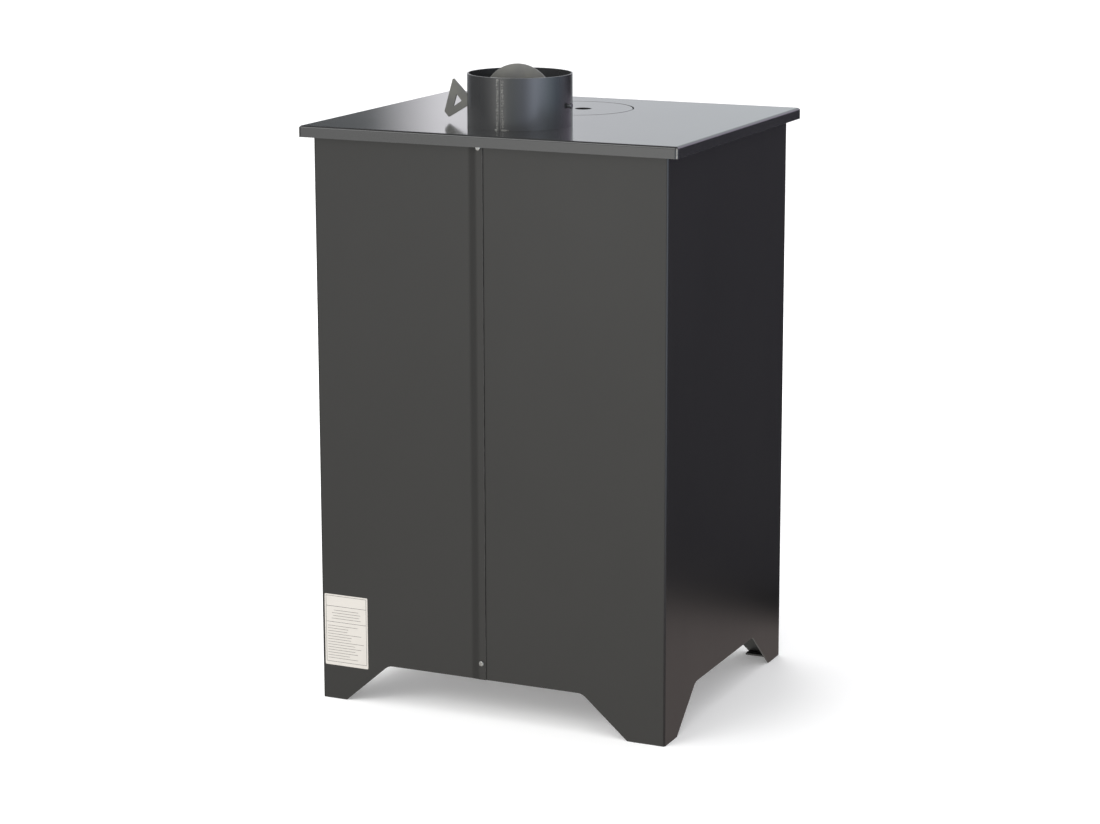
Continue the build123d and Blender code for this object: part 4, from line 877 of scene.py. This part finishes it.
class STOVE_OT_collar_seam(bpy.types.Operator):
    """Adds the two rows of weld craters with painted shade in their pits, the lap's edge painted as a
    highlight beside a dark line painted as its shadow, and the tacks at the foot
    """

    bl_idname = "stove.collar_seam"
    bl_label = "Weld the collar's seam"

    def execute(self, context):
        sizes = context.scene.stove_sizes
        tone = context.scene.stove_paint
        weld = ground_weld("bright weld", tone.weld, 0.45)
        # This dark paint is painted shade: in the crater pits and along the lap's open edge.
        pit = stove_paint("pit painted shade", tone.gap, tone.gap, roughness=0.5, grain=0.5)
        chance = random.Random(CRATER_SEED)
        bottom, top = PLATE_HIGH.z, COLLAR_HIGH.z
        seam = math.radians(sizes.seam_angle)

        craters = bmesh.new()
        for side, start in CRATER_ROWS:
            height = bottom + start
            while height < top - CRATER_HEADROOM:
                stray = chance.uniform(-CRATER_STRAY, CRATER_STRAY) * MM
                angle = seam + (side * sizes.spot_column + stray) / COLLAR_RADIUS
                radius = sizes.spot_radius * chance.uniform(*CRATER_VARIETY)
                crater(craters, collar_point(angle, height), Matrix.Rotation(angle, 4, "Z"), radius)
                height += sizes.spot_pitch * chance.uniform(*CRATER_VARIETY)
        bmesh.ops.remove_doubles(craters, verts=craters.verts[:], dist=0.02 * MM)
        bmesh.ops.recalc_face_normals(craters, faces=craters.faces[:])
        axis = Vector((COLLAR_X, COLLAR_Y, 0.0))
        # The pit's faces take the dark paint: painted shade in the crater's hollow.
        for face in craters.faces:
            out = (face.calc_center_median() - axis).xy.length
            in_shaded_pit = out < COLLAR_RADIUS + PIT_LIFT and len(face.verts) == 3
            face.material_index = 1 if in_shaded_pit else 0
        piece("collar_spot_welds", craters, "stove", "collar_paint", weld, pit)

        # The lap's open edge is a dark strip on the wall, painted as its shadow.
        gap = bmesh.new()
        half = SHADOW_LINE_HALF_WIDTH / COLLAR_RADIUS
        collar_strip(gap, seam - half, seam + half, bottom, top - LAP_HEADROOM, SHADOW_LINE_LIFT)
        piece("collar_lap_shadow_line", gap, "stove", "collar_paint", pit)

        # The lap's edge is made pale as a painted highlight along it.
        lap = bmesh.new()
        collar_strip(lap, seam + half, seam + half * LAP_REACH, bottom, top - LAP_HEADROOM, LAP_LIFT)
        piece("collar_lap_edge", lap, "stove", "collar_paint", ground_weld("lap edge painted highlight", tone.rubbed, 0.6))

        tacks = bmesh.new()
        for degrees, size in FOOT_TACKS:
            angle = seam + math.radians(degrees)
            reach = (TACK_THICKNESS, size * MM, size * TACK_FLATNESS * MM)
            foot = collar_point(angle, bottom + TACK_RAISED, TACK_PROUD)
            blob(tacks, foot, reach, Matrix.Rotation(angle, 4, "Z"))
        piece("collar_foot_tacks", tacks, "stove", "collar_paint", weld)
        return {"FINISHED"}


class STOVE_OT_plate_corners(bpy.types.Operator):
    """Adds the ground weld that closes each corner of the hob's folded rim"""

    bl_idname = "stove.plate_corners"
    bl_label = "Close the rim's corners"

    def execute(self, context):
        weld = ground_weld("ground corner weld", context.scene.stove_paint.weld, 0.8)
        closed = bmesh.new()
        for right, back in ((-1, -1), (-1, 1), (1, -1), (1, 1)):
            x = (PLATE_HIGH.x if right > 0 else PLATE_LOW.x) - right * CORNER_INSET
            y = (PLATE_HIGH.y if back > 0 else PLATE_LOW.y) - back * CORNER_INSET
            low = Vector((x, y, PLATE_LOW.z + CORNER_FOOT))
            high = Vector((x, y, PLATE_HIGH.z - CORNER_HEAD))
            seed = CORNER_SEED + right + 3 * back
            bead(closed, low, high, CORNER_WIDTH, (right, back, 0.0), seed, CORNER_PITCH)
        piece("rim_corner_welds", closed, "stove", "hob_paint", weld)
        return {"FINISHED"}


class STOVE_OT_hinge_welds(bpy.types.Operator):
    """Adds the weld beads along the hinge leaves on the front panel"""

    bl_idname = "stove.hinge_welds"
    bl_label = "Weld the hinge leaves"

    def execute(self, context):
        weld = ground_weld("hinge weld", context.scene.stove_paint.rubbed)
        width = context.scene.stove_sizes.bead_width
        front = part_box("casing_shell_left")[0].y
        for door in DOORS:
            node = frame["nodes"][f"{door}_hinge_brackets"]
            spots = [v.co for v in node.data.vertices]
            middle = (min(p.z for p in spots) + max(p.z for p in spots)) / 2
            run = bmesh.new()
            for part in ([p for p in spots if p.z < middle], [p for p in spots if p.z > middle]):
                flat = [p for p in part if abs(p.y - front) < LEAF_REACH]
                if not flat:
                    raise RuntimeError(f"{door}_hinge_brackets has no leaf on the front panel")
                left, right = min(p.x for p in flat), max(p.x for p in flat)
                low, high = min(p.z for p in flat), max(p.z for p in flat)
                sides = (
                    ((left, front, low), (right, front, low)),
                    ((left, front, high), (right, front, high)),
                    ((left, front, low), (left, front, high)),
                )
                for seed, (start, end) in enumerate(sides, HINGE_SEED):
                    bead(run, start, end, width, (0, -1, 0), seed)
            piece(f"{door}_hinge_welds", run, "stove", "front_paint", weld)
        return {"FINISHED"}


class STOVE_OT_sticker(bpy.types.Operator):
    """Makes the blank label: a rounded sheet with a ruled border and empty lines"""

    bl_idname = "stove.sticker"
    bl_label = "Stick on the blank label"

    def execute(self, context):
        corner = context.scene.stove_sizes.label_corner
        paper = frame["nodes"]["rating_label"].data.materials[0]
        ink = printed_ink("label ink", context.scene.stove_other.ink)
        pale = printed_ink("ruled lines", context.scene.stove_other.ruled)
        centre = (LABEL_LOW + LABEL_HIGH) / 2
        back, face = LABEL_LOW.y, LABEL_HIGH.y
        left, right = LABEL_LOW.x, LABEL_HIGH.x
        foot, top = LABEL_LOW.z, LABEL_HIGH.z
        wide, tall = right - left, top - foot

        sheet = bmesh.new()
        bmesh.ops.create_grid(sheet, x_segments=1, y_segments=1, size=0.5)
        bmesh.ops.scale(sheet, vec=(wide, tall, 1.0), verts=sheet.verts[:])
        bmesh.ops.bevel(
            sheet, geom=sheet.verts[:], offset=corner, segments=5, profile=0.5, affect="VERTICES", material=-1
        )
        grown = bmesh.ops.extrude_face_region(sheet, geom=sheet.faces[:])
        lifted = [v for v in grown["geom"] if isinstance(v, bmesh.types.BMVert)]
        bmesh.ops.translate(sheet, verts=lifted, vec=(0.0, 0.0, face - back))
        upright = Matrix.Rotation(math.radians(-90.0), 4, "X")
        place = Matrix.Translation((centre.x, back, centre.z)) @ upright
        bmesh.ops.transform(sheet, matrix=place, verts=sheet.verts[:])
        bmesh.ops.recalc_face_normals(sheet, faces=sheet.faces[:])
        made = piece("rating_label_blank", sheet, "stove", "label_white", paper)
        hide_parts("rating_label")

        # Every printed line is its middle's x and z, its width and its height.
        across = wide - 2 * BORDER_MARGIN
        up = tall - BORDER_FOOT - BORDER_MARGIN
        middle = centre.z + (BORDER_FOOT - BORDER_MARGIN) / 2
        border = [
            (centre.x, foot + BORDER_FOOT, across, BORDER_LINE),
            (centre.x, top - BORDER_MARGIN, across, BORDER_LINE),
            (left + BORDER_MARGIN, middle, BORDER_LINE, up),
            (right - BORDER_MARGIN, middle, BORDER_LINE, up),
        ]
        border += [(centre.x, top - down, across, BORDER_LINE) for down in CROSS_LINES]
        chance = random.Random(LINE_SEED)
        empty = []
        for count, start, step, shares, centred in EMPTY_LINES:
            for n in range(count):
                run = wide * chance.uniform(*shares)
                x = centre.x if centred else right - 2 * BORDER_MARGIN - run / 2
                empty.append((x, top - (start + step * n) * MM, run, RULED_LINE))
        printed = (("rating_label_frame", border, ink), ("rating_label_lines", empty, pale))
        for name, lines, print_colour in printed:
            ruled = bmesh.new()
            for x, z, run, rise in lines:
                size = Matrix.Diagonal((run, PRINT_THICKNESS, rise, 1.0))
                at = Matrix.Translation((x, face + PRINT_THICKNESS / 2, z)) @ size
                bmesh.ops.create_cube(ruled, size=1.0, matrix=at)
            piece(name, ruled, "stove", "label_white", print_colour)
        return {"FINISHED"}


class STOVE_OT_dial(bpy.types.Operator):
    """Prints ticks and plain numbers on the oven thermometer's dial"""

    bl_idname = "stove.dial"
    bl_label = "Print the dial"

    def execute(self, context):
        sizes = context.scene.stove_sizes
        ink = printed_ink("dial ink", context.scene.stove_other.ink)
        centre = (DIAL_LOW + DIAL_HIGH) / 2
        rim = (DIAL_HIGH.x - DIAL_LOW.x) / 2 - DIAL_MARGIN
        # The dial's node has a pin in its middle, so the printed face is found further out.
        spots = [v.co for v in frame["nodes"]["thermometer_dial"].data.vertices]
        face = min(p.y for p in spots if (p - centre).xz.length > rim / 2) - DIAL_PRINT

        ticks = bmesh.new()
        for n in range(DIAL_STEPS + 1):
            angle = math.radians(DIAL_START - DIAL_SWEEP / DIAL_STEPS * n)
            numbered = n % (DIAL_STEPS // DIAL_NUMERALS) == 0
            long = sizes.tick_length * (1.0 if numbered else SHORT_TICK)
            wide = LONG_TICK_WIDTH if numbered else SHORT_TICK_WIDTH
            at = (
                Matrix.Translation((centre.x, face, centre.z))
                @ Matrix.Rotation(-angle, 4, "Y")
                @ Matrix.Translation((rim - long / 2, 0.0, 0.0))
                @ Matrix.Diagonal((long, 2 * DIAL_PRINT, wide, 1.0))
            )
            bmesh.ops.create_cube(ticks, size=1.0, matrix=at)
        piece("thermometer_ticks", ticks, "oven_door", "label_white", ink)

        numerals = bmesh.new()
        reach = rim - sizes.tick_length - sizes.numeral_height * NUMERAL_INSET
        for n in range(DIAL_NUMERALS + 1):
            angle = math.radians(DIAL_START - DIAL_SWEEP / DIAL_NUMERALS * n)
            text = bpy.data.curves.new("numeral", "FONT")
            text.body = str(NUMERAL_STEP * n)
            text.size = sizes.numeral_height
            text.align_x, text.align_y = "CENTER", "CENTER"
            text.extrude = DIAL_PRINT
            text.resolution_u = 3
            written = bpy.data.objects.new("numeral", text)
            at = (centre.x + reach * math.cos(angle), face, centre.z + reach * math.sin(angle))
            flat = bpy.data.meshes.new_from_object(written)
            flat.transform(Matrix.Translation(at) @ Matrix.Rotation(math.radians(90.0), 4, "X"))
            numerals.from_mesh(flat)
            bpy.data.objects.remove(written)
            bpy.data.curves.remove(text)
            bpy.data.meshes.remove(flat)
        piece("thermometer_numbers", numerals, "oven_door", "label_white", ink)
        return {"FINISHED"}


class STOVE_OT_stage(bpy.types.Operator):
    """Sets up the pale floor, the soft studio light and the camera of the photograph"""

    bl_idname = "stove.stage"
    bl_label = "Set the stage"

    def execute(self, context):
        scene = context.scene
        scene.view_settings.view_transform = "Standard"
        lay_floor()
        lay_paper()
        scene.world = studio_room()
        set_up_softboxes()
        scene.camera = photograph_camera(scene.stove_sizes.camera_distance_scale)
        return {"FINISHED"}


GROUPS = {
    "stove_paint": StovePaintColours,
    "stove_metal": StoveMetalColours,
    "stove_other": StoveOtherColours,
    "stove_sizes": StoveSizes,
}
STEPS = (
    STOVE_OT_paint,
    STOVE_OT_metals,
    STOVE_OT_linings,
    STOVE_OT_collar_seam,
    STOVE_OT_plate_corners,
    STOVE_OT_hinge_welds,
    STOVE_OT_sticker,
    STOVE_OT_dial,
    STOVE_OT_stage,
)


class STOVE_PT_panel(bpy.types.Panel):
    """Lists the steps that finish the stove"""

    bl_idname = "STOVE_PT_panel"
    bl_label = "Stove"
    bl_space_type = "VIEW_3D"
    bl_region_type = "UI"
    bl_category = "Stove"

    def draw(self, context):
        layout = self.layout
        for step in STEPS:
            layout.operator(step.bl_idname)
        for group in GROUPS:
            settings = getattr(context.scene, group)
            box = layout.box()
            for name in type(settings).__annotations__:
                box.prop(settings, name)


def register():
    for group in GROUPS.values():
        bpy.utils.register_class(group)
    for name, group in GROUPS.items():
        setattr(bpy.types.Scene, name, bpy.props.PointerProperty(type=group))
    for step in STEPS:
        bpy.utils.register_class(step)
    bpy.utils.register_class(STOVE_PT_panel)


def unregister():
    bpy.utils.unregister_class(STOVE_PT_panel)
    for step in reversed(STEPS):
        bpy.utils.unregister_class(step)
    for name in GROUPS:
        delattr(bpy.types.Scene, name)
    for group in reversed(list(GROUPS.values())):
        bpy.utils.unregister_class(group)


def main():
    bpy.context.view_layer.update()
    register()
    for step in STEPS:
        getattr(bpy.ops.stove, step.bl_idname.removeprefix("stove."))()


if __name__ == "__main__":
    main()
